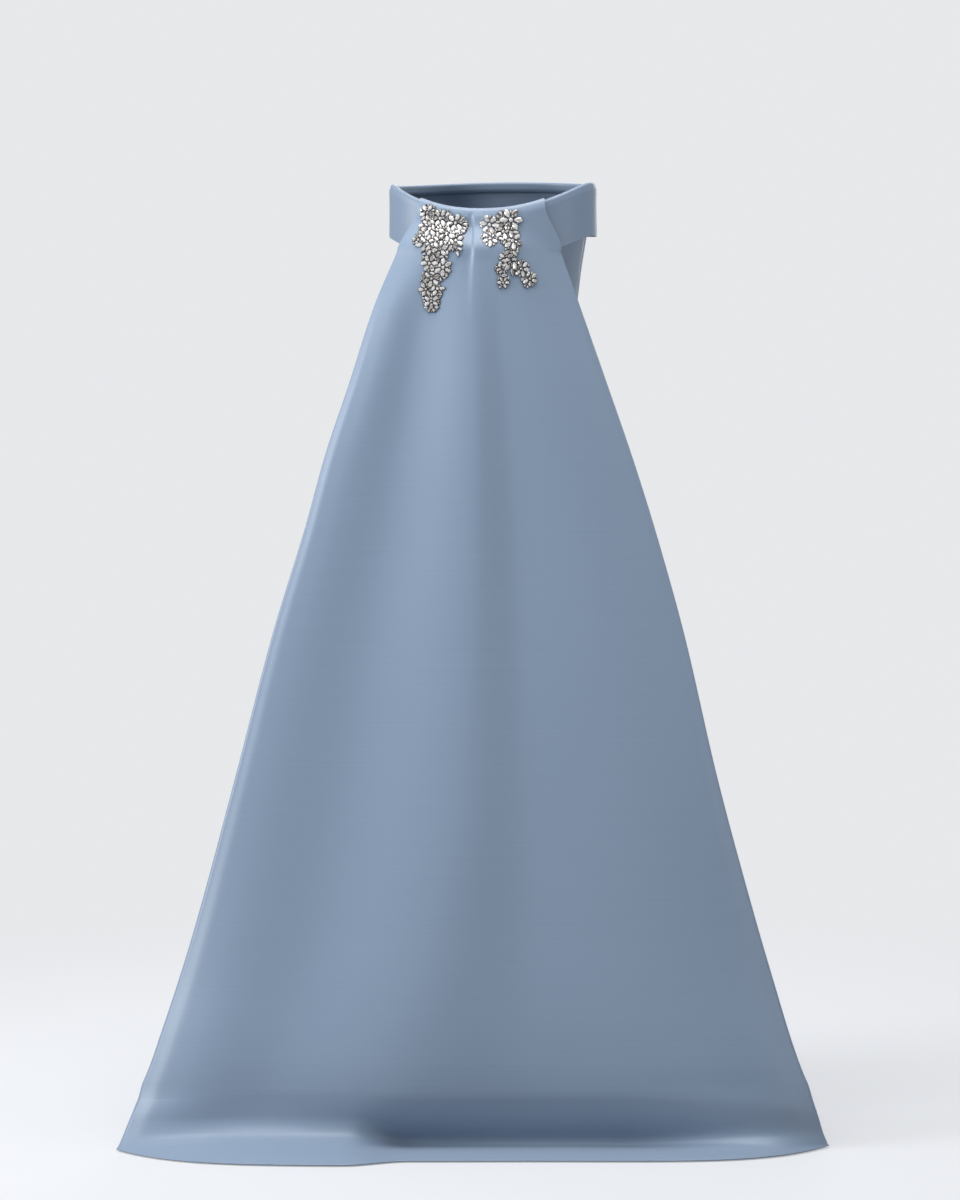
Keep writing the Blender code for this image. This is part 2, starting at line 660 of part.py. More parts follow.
def stones_apart(first, second):
    """Whether two convex outlines keep STONE_GAP between them."""
    for outline in (first.outline, second.outline):
        for (ax, ay), (bx, by) in zip(outline, outline[1:] + outline[:1]):
            length = math.hypot(bx - ax, by - ay)
            nx, ny = (by - ay) / length, (ax - bx) / length
            one = [px * nx + py * ny for px, py in first.outline]
            two = [px * nx + py * ny for px, py in second.outline]
            if min(two) - max(one) > STONE_GAP or min(one) - max(two) > STONE_GAP:
                return True
    return False


def spray_stones(motifs):
    """Every stone that fits, in the order of the motifs: middles first, then petals and leaves."""
    wanted = [list(motif_stones(motif)) for motif in motifs]
    in_order = [stones[0] for stones in wanted] + [stone for stones in wanted for stone in stones[1:]]
    kept = []
    for stone in in_order:
        if all(stones_apart(stone, other) for other in kept):
            kept.append(stone)
    return kept


def grown(outline, rim):
    """A convex outline with every corner moved out from its middle."""
    mx = sum(x for x, _ in outline) / len(outline)
    my = sum(y for _, y in outline) / len(outline)
    corners = []
    for x, y in outline:
        reach = math.hypot(x - mx, y - my)
        corners.append((x + (x - mx) / reach * rim, y + (y - my) / reach * rim))
    return corners


def wires(motifs):
    """The rest of the setting: a hub under each flower, a stem under each sprig, and bars between motifs."""
    for motif in motifs:
        turn = math.radians(motif.angle)
        if motif.kind == "flower":
            yield round_stone(motif.out, motif.down, turn, motif.size * 0.45).outline
        else:
            reach = motif.size * (0.62 * motif.count + 0.4)
            side = WIRE_WIDTH / 2
            yield placed([(-side, -side), (reach, -side), (reach, side), (-side, side)], motif.out, motif.down, turn)
    for number, motif in enumerate(motifs[1:], 1):
        near = min(motifs[:number], key=lambda m: math.hypot(m.out - motif.out, m.down - motif.down))
        length = math.hypot(near.out - motif.out, near.down - motif.down)
        angle = math.atan2(near.down - motif.down, near.out - motif.out)
        side = WIRE_WIDTH / 2
        yield placed([(0, -side), (length, -side), (length, side), (0, side)], motif.out, motif.down, angle)


def setting_outline(motifs, stones):
    """The outer line round the whole setting, as one loop of points."""
    shapes = [grown(stone.outline, SETTING_RIM) for stone in stones] + list(wires(motifs))
    corners = [Vector(corner) for shape in shapes for corner in shape]
    faces = []
    start = 0
    for shape in shapes:
        faces.append(list(range(start, start + len(shape))))
        start += len(shape)
    points, _, triangles, _, _, _ = delaunay_2d_cdt(corners, [], faces, 1, 1e-4)
    return without_short_steps([points[k] for k in outer_loop(points, triangles)], 0.8)


def outer_loop(points, triangles):
    """The places of the points round the outside of a triangulated region, in order."""
    edges = {(a, b) for tri in triangles for a, b in zip(tri, tri[1:] + tri[:1])}
    follows = {a: b for a, b in edges if (b, a) not in edges}
    loops = []
    while follows:
        first, now = follows.popitem()
        loop = [first]
        while now != first:
            loop.append(now)
            now = follows.pop(now)
        loops.append(loop)
    return max(loops, key=lambda loop: abs(loop_area([points[k] for k in loop])))


def loop_area(loop):
    return sum(a.x * b.y - b.x * a.y for a, b in zip(loop, loop[1:] + loop[:1])) / 2


def without_short_steps(loop, shortest):
    kept = [loop[0]]
    for point in loop[1:]:
        if (point - kept[-1]).length >= shortest:
            kept.append(point)
    if (kept[0] - kept[-1]).length < shortest:
        kept.pop()
    return kept


def inside_loop(x, y, loop):
    inside = False
    for a, b in zip(loop, loop[1:] + loop[:1]):
        if (a.y > y) != (b.y > y) and x < a.x + (y - a.y) / (b.y - a.y) * (b.x - a.x):
            inside = not inside
    return inside


def flat_mesh(loop, shapes, loose):
    """A triangulated flat region: the loop's inside, cut along the shapes and with the loose points."""
    corners = list(loop)
    faces = [list(range(len(loop)))]
    for shape in shapes:
        faces.append(list(range(len(corners), len(corners) + len(shape))))
        corners += [Vector(corner) for corner in shape]
    corners += [Vector(corner) for corner in loose]
    points, _, triangles, origins, _, _ = delaunay_2d_cdt(corners, [], faces, 1, 1e-4)
    return points, triangles, [origin[0] if origin else -1 for origin in origins]


def sheet_point(rows, normals, out_mm, down_mm, rise_mm):
    """A point on the train's face: out along it from the centre, down from the top, and risen off it."""
    wanted_z = BACK_NECK_HEIGHT - UNDERARM_HEIGHT - down_mm * MM
    before = None
    for row, row_normals in zip(rows, normals):
        place, normal = point_along(row, row_normals, out_mm * MM)
        if before is not None and place.z <= wanted_z:
            share = (before[0].z - wanted_z) / (before[0].z - place.z)
            place = before[0].lerp(place, share)
            normal = before[1].lerp(normal, share).normalized()
            return place + normal * (rise_mm * MM)
        before = (place, normal)
    return place


def point_along(row, row_normals, out):
    """The point and normal at a signed distance along a row of the train from its middle."""
    middle = len(row) // 2
    step = 1 if out > 0 else -1
    place = middle if out > 0 else middle - 1
    left = abs(out)
    while True:
        length = (row[place + step] - row[place]).length
        if left <= length or place + step in (0, len(row) - 1):
            share = left / length
            normal = Vector(row_normals[place]).lerp(Vector(row_normals[place + step]), share)
            return row[place].lerp(row[place + step], share), normal
        left -= length
        place += step


def build_spray(name, motifs, side, sheet, material):
    """One spray as a solid: a setting with a plain back, and a raised crystal at every stone."""
    rows, normals = sheet
    stones = spray_stones(motifs)
    loop = setting_outline(motifs, stones)
    crests = [crest for stone in stones for crest in stone.crest]
    points, triangles, origins = flat_mesh(loop, [stone.outline for stone in stones], crests)
    first_crest = len(loop) + sum(len(stone.outline) for stone in stones)
    bm = bmesh.new()
    top = []
    for point, origin in zip(points, origins):
        rise = RIM_RISE
        if origin >= len(loop):
            rise = STONE_RISE if origin >= first_crest else GIRDLE_RISE
        top.append(bm.verts.new(sheet_point(rows, normals, side * point.x, point.y, rise + SPRAY_STANDOFF)))
    for triangle in triangles:
        bm.faces.new([top[k] for k in triangle])
    rim = outer_loop(points, triangles)
    loop = [points[k] for k in rim]
    xs = [point.x for point in loop]
    ys = [point.y for point in loop]
    steps_x = range(int(min(xs) / SPRAY_GRID), int(max(xs) / SPRAY_GRID) + 2)
    steps_y = range(int(min(ys) / SPRAY_GRID) - 1, int(max(ys) / SPRAY_GRID) + 2)
    grid = [(i * SPRAY_GRID, j * SPRAY_GRID) for i in steps_x for j in steps_y]
    grid = [(x, y) for x, y in grid if inside_loop(x, y, loop)]
    back_points, back_triangles, back_origins = flat_mesh(loop, [], grid)
    back = [bm.verts.new(sheet_point(rows, normals, side * p.x, p.y, SPRAY_STANDOFF)) for p in back_points]
    for triangle in back_triangles:
        bm.faces.new([back[k] for k in triangle])
    back_at = {origin: vert for vert, origin in zip(back, back_origins)}
    for k in range(len(loop)):
        after = (k + 1) % len(loop)
        bm.faces.new((top[rim[k]], top[rim[after]], back_at[after], back_at[k]))
    return add_object(name, bm, material, smooth_angle=12)


def main():
    clear_scene()
    satin = make_material("satin", SATIN)
    satin_shade = make_material("satin_shade", SATIN_SHADE)
    build_column(satin_shade)
    build_cuff(satin)
    sheet = build_train(satin)
    crystal = make_material("crystal", CRYSTAL)
    build_spray("crystal_spray_left", LEFT_SPRAY, 1, sheet, crystal)
    build_spray("crystal_spray_right", RIGHT_SPRAY, -1, sheet, crystal)


main()
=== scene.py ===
import math
import bmesh
import bpy
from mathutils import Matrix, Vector


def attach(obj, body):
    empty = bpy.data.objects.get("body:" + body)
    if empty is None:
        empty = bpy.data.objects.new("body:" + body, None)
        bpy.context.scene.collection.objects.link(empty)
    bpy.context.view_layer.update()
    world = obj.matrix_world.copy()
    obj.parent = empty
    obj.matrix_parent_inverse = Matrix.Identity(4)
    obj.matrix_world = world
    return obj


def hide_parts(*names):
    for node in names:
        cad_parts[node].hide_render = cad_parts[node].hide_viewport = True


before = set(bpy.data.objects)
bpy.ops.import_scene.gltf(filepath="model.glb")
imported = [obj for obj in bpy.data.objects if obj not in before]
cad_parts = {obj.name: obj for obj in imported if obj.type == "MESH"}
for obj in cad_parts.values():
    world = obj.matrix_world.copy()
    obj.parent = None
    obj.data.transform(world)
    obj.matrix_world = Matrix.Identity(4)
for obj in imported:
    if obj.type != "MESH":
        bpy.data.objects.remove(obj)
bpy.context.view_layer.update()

mm = 0.001
gown = {  # heights above the floor
    "underarmHeight": 1.343,  # the origin lies here
    "backNeckHeight": 1.299,
    "frontNeckHeight": 1.352,
}
floorZ = -gown["underarmHeight"]


def ease(share):  # smooth step from 0 to 1
    share = min(1.0, max(0.0, share))
    return share * share * (3.0 - 2.0 * share)


def mix(first, second, share):
    return first + (second - first) * share


def bell(distance, width):
    return math.exp(-((distance / width) ** 2))


def fadeIn(at, start, length):
    return ease((at - start) / length)


def readTable(rows, at):  # one line of a table, read smoothly by its first column, with no overshoot
    if rows[0][0] > rows[-1][0]:
        rows = rows[::-1]
    if at <= rows[0][0]:
        return rows[0]
    if at >= rows[-1][0]:
        return rows[-1]
    k = max(n for n in range(len(rows) - 1) if rows[n][0] <= at)
    step = rows[k + 1][0] - rows[k][0]
    t = (at - rows[k][0]) / step
    found = [at]
    for column in range(1, len(rows[0])):
        def slope(n):
            return (rows[n + 1][column] - rows[n][column]) / (rows[n + 1][0] - rows[n][0])

        def tangent(n):
            if n == 0:
                return slope(0)
            if n == len(rows) - 1:
                return slope(n - 1)
            before, after = slope(n - 1), slope(n)
            return 2 * before * after / (before + after) if before * after > 0 else 0.0

        low, high = rows[k][column], rows[k + 1][column]
        value = low * (2 * t**3 - 3 * t**2 + 1) + high * (3 * t**2 - 2 * t**3)
        value += step * (tangent(k) * (t**3 - 2 * t**2 + t) + tangent(k + 1) * (t**3 - t**2))
        found.append(value)
    return found


def fromFloor(x, y, height):
    return Vector((x, y, height - gown["underarmHeight"]))


def finishPiece(name, bm, node, material, thickness=0.0, smoothAngle=180):
    mesh = bpy.data.meshes.new(name)
    bm.to_mesh(mesh)
    bm.free()
    mesh.materials.append(material)
    mesh.shade_smooth()
    if smoothAngle < 180:
        mesh.set_sharp_from_angle(angle=math.radians(smoothAngle))
    piece = bpy.data.objects.new(name, mesh)
    bpy.context.scene.collection.objects.link(piece)
    if thickness:
        wall = piece.modifiers.new("clothThickness", "SOLIDIFY")
        wall.thickness = thickness
        wall.offset = -1
        wall.use_even_offset = False
    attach(piece, "root")
    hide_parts(node)
    return piece


def clothGrid(columns, lines, place):  # a flat grid of cloth, with each point then moved to where it hangs
    bm = bmesh.new()
    bmesh.ops.create_grid(bm, x_segments=columns, y_segments=len(lines) - 1, size=1)
    uvLayer = bm.loops.layers.uv.new("cloth")
    spots = {}
    for vert in bm.verts:
        across = round((vert.co.x + 1) / 2 * columns)
        row = round((vert.co.y + 1) / 2 * (len(lines) - 1))
        spots[vert] = (across, row)
        vert.co = place(across / columns, lines[row])
    at = {spot: vert.co for vert, spot in spots.items()}
    middle = columns // 2
    down = [0.0]  # the cloth's own length down to each row
    for row in range(1, len(lines)):
        down.append(down[-1] + (at[(middle, row)] - at[(middle, row - 1)]).length)
    for face in bm.faces:
        for loop in face.loops:
            across, row = spots[loop.vert]
            loop[uvLayer].uv = (across / columns, down[row])
    return bm


def turnOutwards(bm, out):  # the face that lies furthest out tells whether the cloth is inside out
    bmesh.ops.recalc_face_normals(bm, faces=bm.faces)
    furthest = max(bm.faces, key=lambda face: face.calc_center_median().dot(out))
    if furthest.normal.dot(out) < 0:
        bmesh.ops.reverse_faces(bm, faces=bm.faces)


def sheetArea(bm):
    return sum(face.calc_area() for face in bm.faces)


column = {
    "hemHeight": 0.009,
    "belowFold": 4.2 * mm,
    "squareness": 2.25,
    "bustHeight": 1.278, "bustApex": 0.083, "bustRise": 0.019, "bustAcross": 0.046, "bustUp": 0.052,
    "hemFlutes": 9, "fluteRise": 0.0055, "fluteTop": 0.62,
    "cloth": 1.3 * mm,
    "rows": 150, "rowSpread": 1.15,  # above 1 the rows lie closer at the top
    "seamGap": 0.3 * mm, "seamStep": 0.02,  # the gap is taken off towards this angle within the panel
    "seamRoll": 0.9 * mm, "seamRollWidth": 0.8,  # a panel's edge turns in, over this many columns
    "outwardStep": math.radians(1.5),
    # one shaping dart each side of the front: angle and width in degrees, then its two ends above the floor
    "dartAngles": (34, -34), "dartWidth": 1.2, "dartDepth": 1.1 * mm,
    "dartFoot": 0.93, "dartFootFade": 0.05, "dartHead": 1.235, "dartHeadFade": 0.03,
    # piece, node, first and last angle in degrees, columns, width of the flat panel
    "panels": [
        ("frontPanel", "column_front", -90, 90, 96, 0.66),
        ("backPanelLeft", "column_back_left", 90, 180, 48, 0.34),
        ("backPanelRight", "column_back_right", -180, -90, 48, 0.34),
    ],
    # height, half width, front, back
    "figure": [
        (0.000, 0.200, 0.146, 0.142),
        (0.300, 0.186, 0.131, 0.128),
        (0.550, 0.174, 0.117, 0.121),
        (0.750, 0.172, 0.110, 0.128),
        (0.900, 0.171, 0.108, 0.134),
        (1.000, 0.153, 0.103, 0.114),
        (1.105, 0.119, 0.093, 0.083),
        (1.205, 0.1275, 0.103, 0.088),
        (1.280, 0.138, 0.119, 0.094),
        (1.360, 0.147, 0.114, 0.097),
    ],
}


def neckHeight(angle):  # angle 0 is the centre front
    share = math.sin(angle) ** 2
    middle = gown["backNeckHeight"] if math.cos(angle) < 0 else gown["frontNeckHeight"]
    return mix(middle, gown["underarmHeight"], share)


def columnPoint(angle, height):
    _, halfWidth, front, back = readTable(column["figure"], height)
    sine, cosine = math.sin(angle), math.cos(angle)
    power = 2.0 / column["squareness"]
    x = halfWidth * math.copysign(abs(sine) ** power, sine)
    y = -(front if cosine > 0 else back) * math.copysign(abs(cosine) ** power, cosine)
    if cosine > 0:
        across = (abs(x) - column["bustApex"]) / column["bustAcross"]
        up = (height - column["bustHeight"]) / column["bustUp"]
        y -= column["bustRise"] * math.exp(-across * across - up * up)
    flute = column["fluteRise"] * ease(1 - height / column["fluteTop"])
    grown = 1 + flute * math.cos(column["hemFlutes"] * angle) / math.hypot(x, y)
    return fromFloor(x * grown, y * grown, height)


def outward(angle, height):
    step = column["outwardStep"]
    tangent = columnPoint(angle + step, height) - columnPoint(angle - step, height)
    return Vector((tangent.y, -tangent.x, 0)).normalized()


def dartGroove(angle, height):
    reach = fadeIn(height, column["dartFoot"], column["dartFootFade"])
    reach *= 1 - fadeIn(height, column["dartHead"], column["dartHeadFade"])
    depth = 0.0
    for dart in column["dartAngles"]:
        depth += column["dartDepth"] * bell(math.degrees(angle) - dart, column["dartWidth"]) * reach
    return depth


def columnPanel(name, node, firstAngle, lastAngle, columns, width, material):
    start, end = math.radians(firstAngle), math.radians(lastAngle)
    lines = [1 - (1 - r / column["rows"]) ** column["rowSpread"] for r in range(column["rows"] + 1)]

    def place(share, line):
        angle = mix(start, end, share)
        height = mix(column["hemHeight"], neckHeight(angle) - column["belowFold"], line)
        point = columnPoint(angle, height)
        if share in (0, 1):
            within = columnPoint(angle + math.copysign(column["seamStep"], 0.5 - share), height)
            point = point + (within - point).normalized() * column["seamGap"] / 2
        roll = column["seamRoll"] * bell(min(share, 1 - share) * columns, column["seamRollWidth"])
        return point - outward(angle, height) * (roll + dartGroove(angle, height))

    bm = clothGrid(columns, lines, place)
    turnOutwards(bm, outward(mix(start, end, 0.5), column["bustHeight"]))
    area = sheetArea(bm)
    piece = finishPiece(name, bm, node, material, thickness=column["cloth"])


cuffShape = {
    "cloth": 1.0 * mm,
    "band": 2.5 * mm,  # the two layers together
    "depth": 0.077,
    "columns": 192,
    "innerLines": (0.45, 0.6, 0.75, 0.88, 0.96),  # the inner layer's lines, as shares of the depth
    "edgeTurn": 0.7 * mm, "edgeTurnSteps": 6,  # the folded lower edge
    "aboveEdge": 2 * mm, "belowCrown": 0.009, "outerSteps": 20,  # where the outer layer starts and ends
    "endRoll": 0.6 * mm,
    # down from the fold, stand-off from the column at the side, front and back
    "stand": [
        (0.000, 0.0062, 0.0046, 0.0052),
        (0.028, 0.0088, 0.0050, 0.0068),
        (0.054, 0.0118, 0.0080, 0.0092),
        (0.077, 0.0150, 0.0150, 0.0118),
    ],
    # over the fold: out from the column and up from the crown, in millimetres
    "fold": [
        (4.9, -5.0), (4.3, -2.7), (3.0, -1.1), (1.2, -0.2), (-0.8, 0.0), (-2.7, -0.4),
        (-4.2, -1.3), (-4.9, -3.0), (-5.0, -5.0), (-5.0, -9.0), (-5.0, -15.0),
    ],
}


def cuffStand(angle, down):
    _, side, front, back = readTable(cuffShape["stand"], down)
    return mix(front if math.cos(angle) > 0 else back, side, math.sin(angle) ** 2)


def cuffPoint(angle, down, out):
    height = neckHeight(angle) - down
    return columnPoint(angle, height) + outward(angle, height) * (cuffStand(angle, down) + out)


def foldPoint(angle, outMm, upMm):
    crown = neckHeight(angle)
    height = crown + min(0.0, upMm * mm)
    base = columnPoint(angle, height)
    return base + outward(angle, height) * (outMm * mm) + Vector((0, 0, crown + upMm * mm - height))


def makeCuff(material):
    depth, turn, turnSteps = cuffShape["depth"], cuffShape["edgeTurn"], cuffShape["edgeTurnSteps"]
    inside = -(cuffShape["band"] - cuffShape["cloth"])
    lines = [("leaf", depth * share, inside) for share in cuffShape["innerLines"]]
    for step in range(turnSteps + 1):
        angle = math.pi * step / turnSteps
        out = inside / 2 + math.cos(angle) * inside / 2
        lines.append(("leaf", depth - turn + turn * math.sin(angle), out))
    for step in range(cuffShape["outerSteps"] + 1):
        share = step / cuffShape["outerSteps"]
        lines.append(("leaf", mix(depth - cuffShape["aboveEdge"], cuffShape["belowCrown"], share), 0.0))
    lines += [("fold", out, up) for out, up in cuffShape["fold"]]

    def place(share, line):
        gap = column["seamGap"] / column["figure"][-1][1]  # as an angle at the top edge
        angle = mix(-math.pi + gap, math.pi - gap, share)
        kind, first, second = line
        if kind == "fold":
            return foldPoint(angle, first, second)
        fromEnd = min(share, 1 - share) * cuffShape["columns"]
        roll = cuffShape["endRoll"] * bell(fromEnd, column["seamRollWidth"])
        return cuffPoint(angle, first, second - roll)

    bm = clothGrid(cuffShape["columns"], lines, place)
    turnOutwards(bm, Vector((0, 0, 1)))
    area = sheetArea(bm)
    piece = finishPiece("foldOverCuff", bm, "cuff", material, thickness=cuffShape["cloth"])


train = {
    "turn": math.radians(9),
    "topHalfWidth": 0.087, "topShift": 0.0035,
    "cloth": 1.4 * mm, "cadCloth": 2.2 * mm,
    "onCuff": 0.5 * mm, "cuffSlack": 0.6 * mm, "cuffSoftness": 0.03,
    "sewnLength": 0.010,  # it lies flat on the cuff for this far below the neckline
    "edgeLean": 0.19, "middleLean": 0.15,
    "columns": 136, "edgeCloser": 0.15,
    "foldDrop": 0.005, "onCuffSteps": 14, "hangSteps": 160, "hangSpread": 1.1, "breakSteps": 10,
    "breakSide": 0.27, "breakBlend": 0.09, "slopeFrom": 0.42, "slopeTo": 0.92,
    "leftTrail": 0.030,  # on the floor the left edge trails this much further
    "edgeRoll": 0.0035, "edgeRollShare": 0.06,
    "edgeRollTop": 1.22, "edgeRollFade": 0.15, "edgeRollFoot": 0.03,
    # over the neckline: out from the column and up from the crown, in millimetres
    "fold": [
        (-7.9, -13.0), (-7.9, -8.0), (-7.9, -4.0), (-7.1, -0.8), (-5.3, 1.7), (-3.2, 2.7),
        (-0.8, 2.9), (2.0, 2.4), (4.6, 1.2), (6.8, -1.2), (8.0, -5.0),
    ],
    # height, left, right, edge behind, middle behind, roundness
    "rows": [
        (1.240, 0.137, 0.097, 0.093, 0.1260, 2.4),
        (1.160, 0.170, 0.125, 0.108, 0.1380, 2.4),
        (1.050, 0.205, 0.163, 0.130, 0.1560, 2.5),
        (0.950, 0.238, 0.197, 0.150, 0.1720, 2.6),
        (0.850, 0.265, 0.228, 0.170, 0.1890, 2.7),
        (0.700, 0.310, 0.269, 0.200, 0.2190, 2.8),
        (0.500, 0.361, 0.314, 0.240, 0.2640, 3.0),
        (0.300, 0.414, 0.367, 0.275, 0.3150, 3.2),
        (0.220, 0.438, 0.390, 0.291, 0.3375, 3.3),
        (0.150, 0.461, 0.4105, 0.312, 0.3565, 3.5),
        (0.110, 0.4745, 0.424, 0.323, 0.3655, 3.8),
        (0.085, 0.4850, 0.4345, 0.328, 0.3690, 4.1),
    ],
    # station, left, right, edge height and behind, then height and behind of the middle, of the left slope
    # and of the right slope, and roundness
    "breakRows": [
        (0, 0.4900, 0.4400, 0.0660, 0.331, 0.0750, 0.3690, 0.0780, 0.3690, 0.0740, 0.3735, 4.4),
        (1, 0.5005, 0.4485, 0.0400, 0.335, 0.0400, 0.3600, 0.0480, 0.3680, 0.0470, 0.3775, 5.0),
        (2, 0.5085, 0.4545, 0.0200, 0.337, 0.0140, 0.3500, 0.0270, 0.3790, 0.0300, 0.3870, 5.5),
        (3, 0.5130, 0.4590, 0.0090, 0.337, 0.0042, 0.3600, 0.0170, 0.4020, 0.0185, 0.4010, 6.0),
        (4, 0.5158, 0.4612, 0.0040, 0.337, 0.0080, 0.4030, 0.0105, 0.4320, 0.0095, 0.4180, 6.0),
        (5, 0.5175, 0.4630, 0.0024, 0.337, 0.0023, 0.4370, 0.0023, 0.4640, 0.0023, 0.4370, 6.0),
    ],
    # height, left edge, then place and rise in mm of the left ridge, left valley, crest, right valley and
    # right ridge, and last the right edge
    "folds": [
        (1.225, 0, 0.84, 0, 0.50, 0.0, 0.05, 1, -0.22, 0, -0.45, 0, 0),
        (1.150, 7, 0.84, 8, 0.50, -3.0, 0.04, 9, -0.22, 3, -0.46, 2, 0),
        (1.050, 10, 0.86, 10, 0.50, -4.0, 0.02, 14, -0.22, 5, -0.48, 4, 0),
        (0.850, 10, 0.88, 9, 0.52, -4.5, 0.03, 17, -0.22, 6, -0.52, 6, 0),
        (0.500, 10, 0.88, 8, 0.54, -4.5, 0.04, 17, -0.22, 6, -0.62, 7, 3),
        (0.300, 10, 0.88, 8, 0.56, -5.0, 0.10, 16, -0.20, 4, -0.74, 9, 6),
        (0.160, 8, 0.88, 7, 0.60, -5.0, 0.16, 14, -0.18, 3, -0.84, 13, 10),
        (0.070, 4, 0.88, 4, 0.62, -4.5, 0.22, 11, -0.18, 1, -0.88, 14, 12),
        (0.010, 0, 0.88, 0, 0.62, 0.0, 0.24, 1, -0.18, 0, -0.88, 5, 4),
    ],
}


def trainAxes(across, behind, height):
    cosine, sine = math.cos(train["turn"]), math.sin(train["turn"])
    return fromFloor(across * cosine - behind * sine, across * sine + behind * cosine, height)


def spanPlace(across, left, right):
    return (left - right) / 2 + across * (left + right) / 2


def edgeRoll(across, height):
    share = train["edgeRollShare"]
    fade = ease((train["edgeRollTop"] - height) / train["edgeRollFade"])
    return train["edgeRoll"] * ease((abs(across) - 1 + share) / share) * fade


def foldSection(height):  # the section's crests and valleys, from the right edge to the left
    row = readTable(train["folds"], height)
    knots = [(-1, row[12]), (row[10], row[11]), (row[8], row[9]), (row[6], row[7]), (row[4], row[5])]
    return knots + [(row[2], row[3]), (1, row[1])]


def foldRise(across, knots):
    return readTable(knots, across)[1] * mm


def clearOfCuff(point):
    height = point.z + gown["underarmHeight"]
    _, halfWidth, _, back = readTable(column["figure"], height)
    crown = mix(gown["backNeckHeight"], gown["underarmHeight"], min(1.0, (point.x / halfWidth) ** 2))
    _, side, _, behind = readTable(cuffShape["stand"], crown - height)
    lying = train["cadCloth"] + train["onCuff"] + train["cuffSlack"]
    wide = abs(point.x) / (halfWidth + side + lying)
    deep = abs(point.y) / (back + behind + lying)
    power = column["squareness"]
    reached = (wide**power + deep**power) ** (1 / power)
    soft = train["cuffSoftness"]  # the cloth bends gently as it leaves the cuff
    if reached >= 1 + soft:
        return point
    grown = 1 / reached if reached <= 1 - soft else (1 + (reached - 1 + soft) ** 2 / (4 * soft)) / reached
    return Vector((point.x * grown, point.y * grown, point.z))


def hangingRow(height):  # above the table's first line the train keeps leaning in towards the neckline
    row = list(readTable(train["rows"], height))
    above = max(0.0, height - train["rows"][0][0])
    row[3] -= train["edgeLean"] * above
    row[4] -= train["middleLean"] * above
    return row


def hangingPoint(across, height, row, knots):
    _, left, right, edgeBehind, middleBehind, roundness = row
    behind = mix(middleBehind, edgeBehind, abs(across) ** roundness) - edgeRoll(across, height)
    return trainAxes(spanPlace(across, left, right), behind + foldRise(across, knots), height)


def breakingPoint(across, row, knots):
    _, left, right, edgeHeight, edgeBehind, height, behind = row[:7]
    leftHeight, leftBehind, rightHeight, rightBehind, roundness = row[7:]
    toLeft = ease((across - train["breakSide"]) / train["breakBlend"] / 2 + 0.5)
    toRight = ease((-across - train["slopeFrom"]) / (train["slopeTo"] - train["slopeFrom"]))
    height = mix(mix(height, leftHeight, toLeft), rightHeight, toRight)
    behind = mix(mix(behind, leftBehind, toLeft), rightBehind, toRight)
    edge = abs(across) ** roundness
    roll = edgeRoll(across, edgeHeight) * ease(edgeHeight / train["edgeRollFoot"])
    edgeBehind += train["leftTrail"] * max(across, 0) * (1 - edgeHeight / train["breakRows"][0][3])
    behind = mix(behind, edgeBehind, edge) - roll + foldRise(across, knots)
    return trainAxes(spanPlace(across, left, right), behind, mix(height, edgeHeight, edge))


def topAngle(across):
    halfWidth = column["figure"][-1][1]
    halfAngle = math.asin(train["topHalfWidth"] / halfWidth)
    return math.pi - math.asin(train["topShift"] / halfWidth) - across * halfAngle


pleat = {
    "shift": 0.05, "tacked": 0.095, "opening": 0.22,
    # across it in millimetres: the lip on the right, its edge, and the dip on the left
    "lip": 2.3, "lipReach": 20, "edgeWidth": 2.6, "dip": 1.3, "dipAway": 3.4,
    # down from the neckline, where each change of the relief starts and how long it takes
    "rise": (-0.004, 0.02), "calming": (0.045, 0.110), "calmed": 0.85, "end": (0.125, 0.10),
    "widening": (0.0, 0.09), "widened": 1.8,
}


def pleatOpened(dropped):
    return fadeIn(dropped, pleat["tacked"], pleat["opening"])


def pastPleat(s, opened):  # the pleat keeps cloth gathered to one side until it opens
    return s + pleat["shift"] * (1 - opened) * (1 - abs(s))


def pleatRelief(side, dropped):  # the right side folds over the pleat, beside the left side's dip
    away = side / mm
    deep = fadeIn(dropped, *pleat["rise"]) * (1 - pleat["calmed"] * fadeIn(dropped, *pleat["calming"]))
    deep *= 1 - fadeIn(dropped, *pleat["end"])
    wide = 1 + pleat["widened"] * fadeIn(dropped, *pleat["widening"])
    edge = pleat["edgeWidth"] * wide
    lip = bell(away, pleat["lipReach"]) if away <= 0 else 1 - ease(away / edge)
    dip = bell(away - pleat["dipAway"] * wide, edge) if away > 0 else 0.0
    return (pleat["lip"] * lip - pleat["dip"] * dip) * mm * deep


def trainLines():
    lines = [("fold", out, up) for out, up in train["fold"]]
    top, free, last = gown["backNeckHeight"] - train["foldDrop"], train["rows"][0][0], train["rows"][-1][0]
    steps, hangSteps, breakSteps = train["onCuffSteps"], train["hangSteps"], train["breakSteps"]
    heights = [top - (top - free) * r / steps for r in range(1, steps + 1)]
    heights += [mix(free, last, (r / hangSteps) ** train["hangSpread"]) for r in range(1, hangSteps + 1)]
    lines += [("hang", height, (hangingRow(height), foldSection(height))) for height in heights]
    for r in range((len(train["breakRows"]) - 1) * breakSteps + 1):
        row = readTable(train["breakRows"], r / breakSteps)
        lines.append(("break", row[5], (row, foldSection(row[5]))))
    return lines


def trainShare(u, opened):  # u runs from the right edge to the left, with its columns closer at the edges
    s = 2 * u - 1
    s = (1 + train["edgeCloser"]) * s - train["edgeCloser"] * s**3
    return pastPleat(s, opened), s


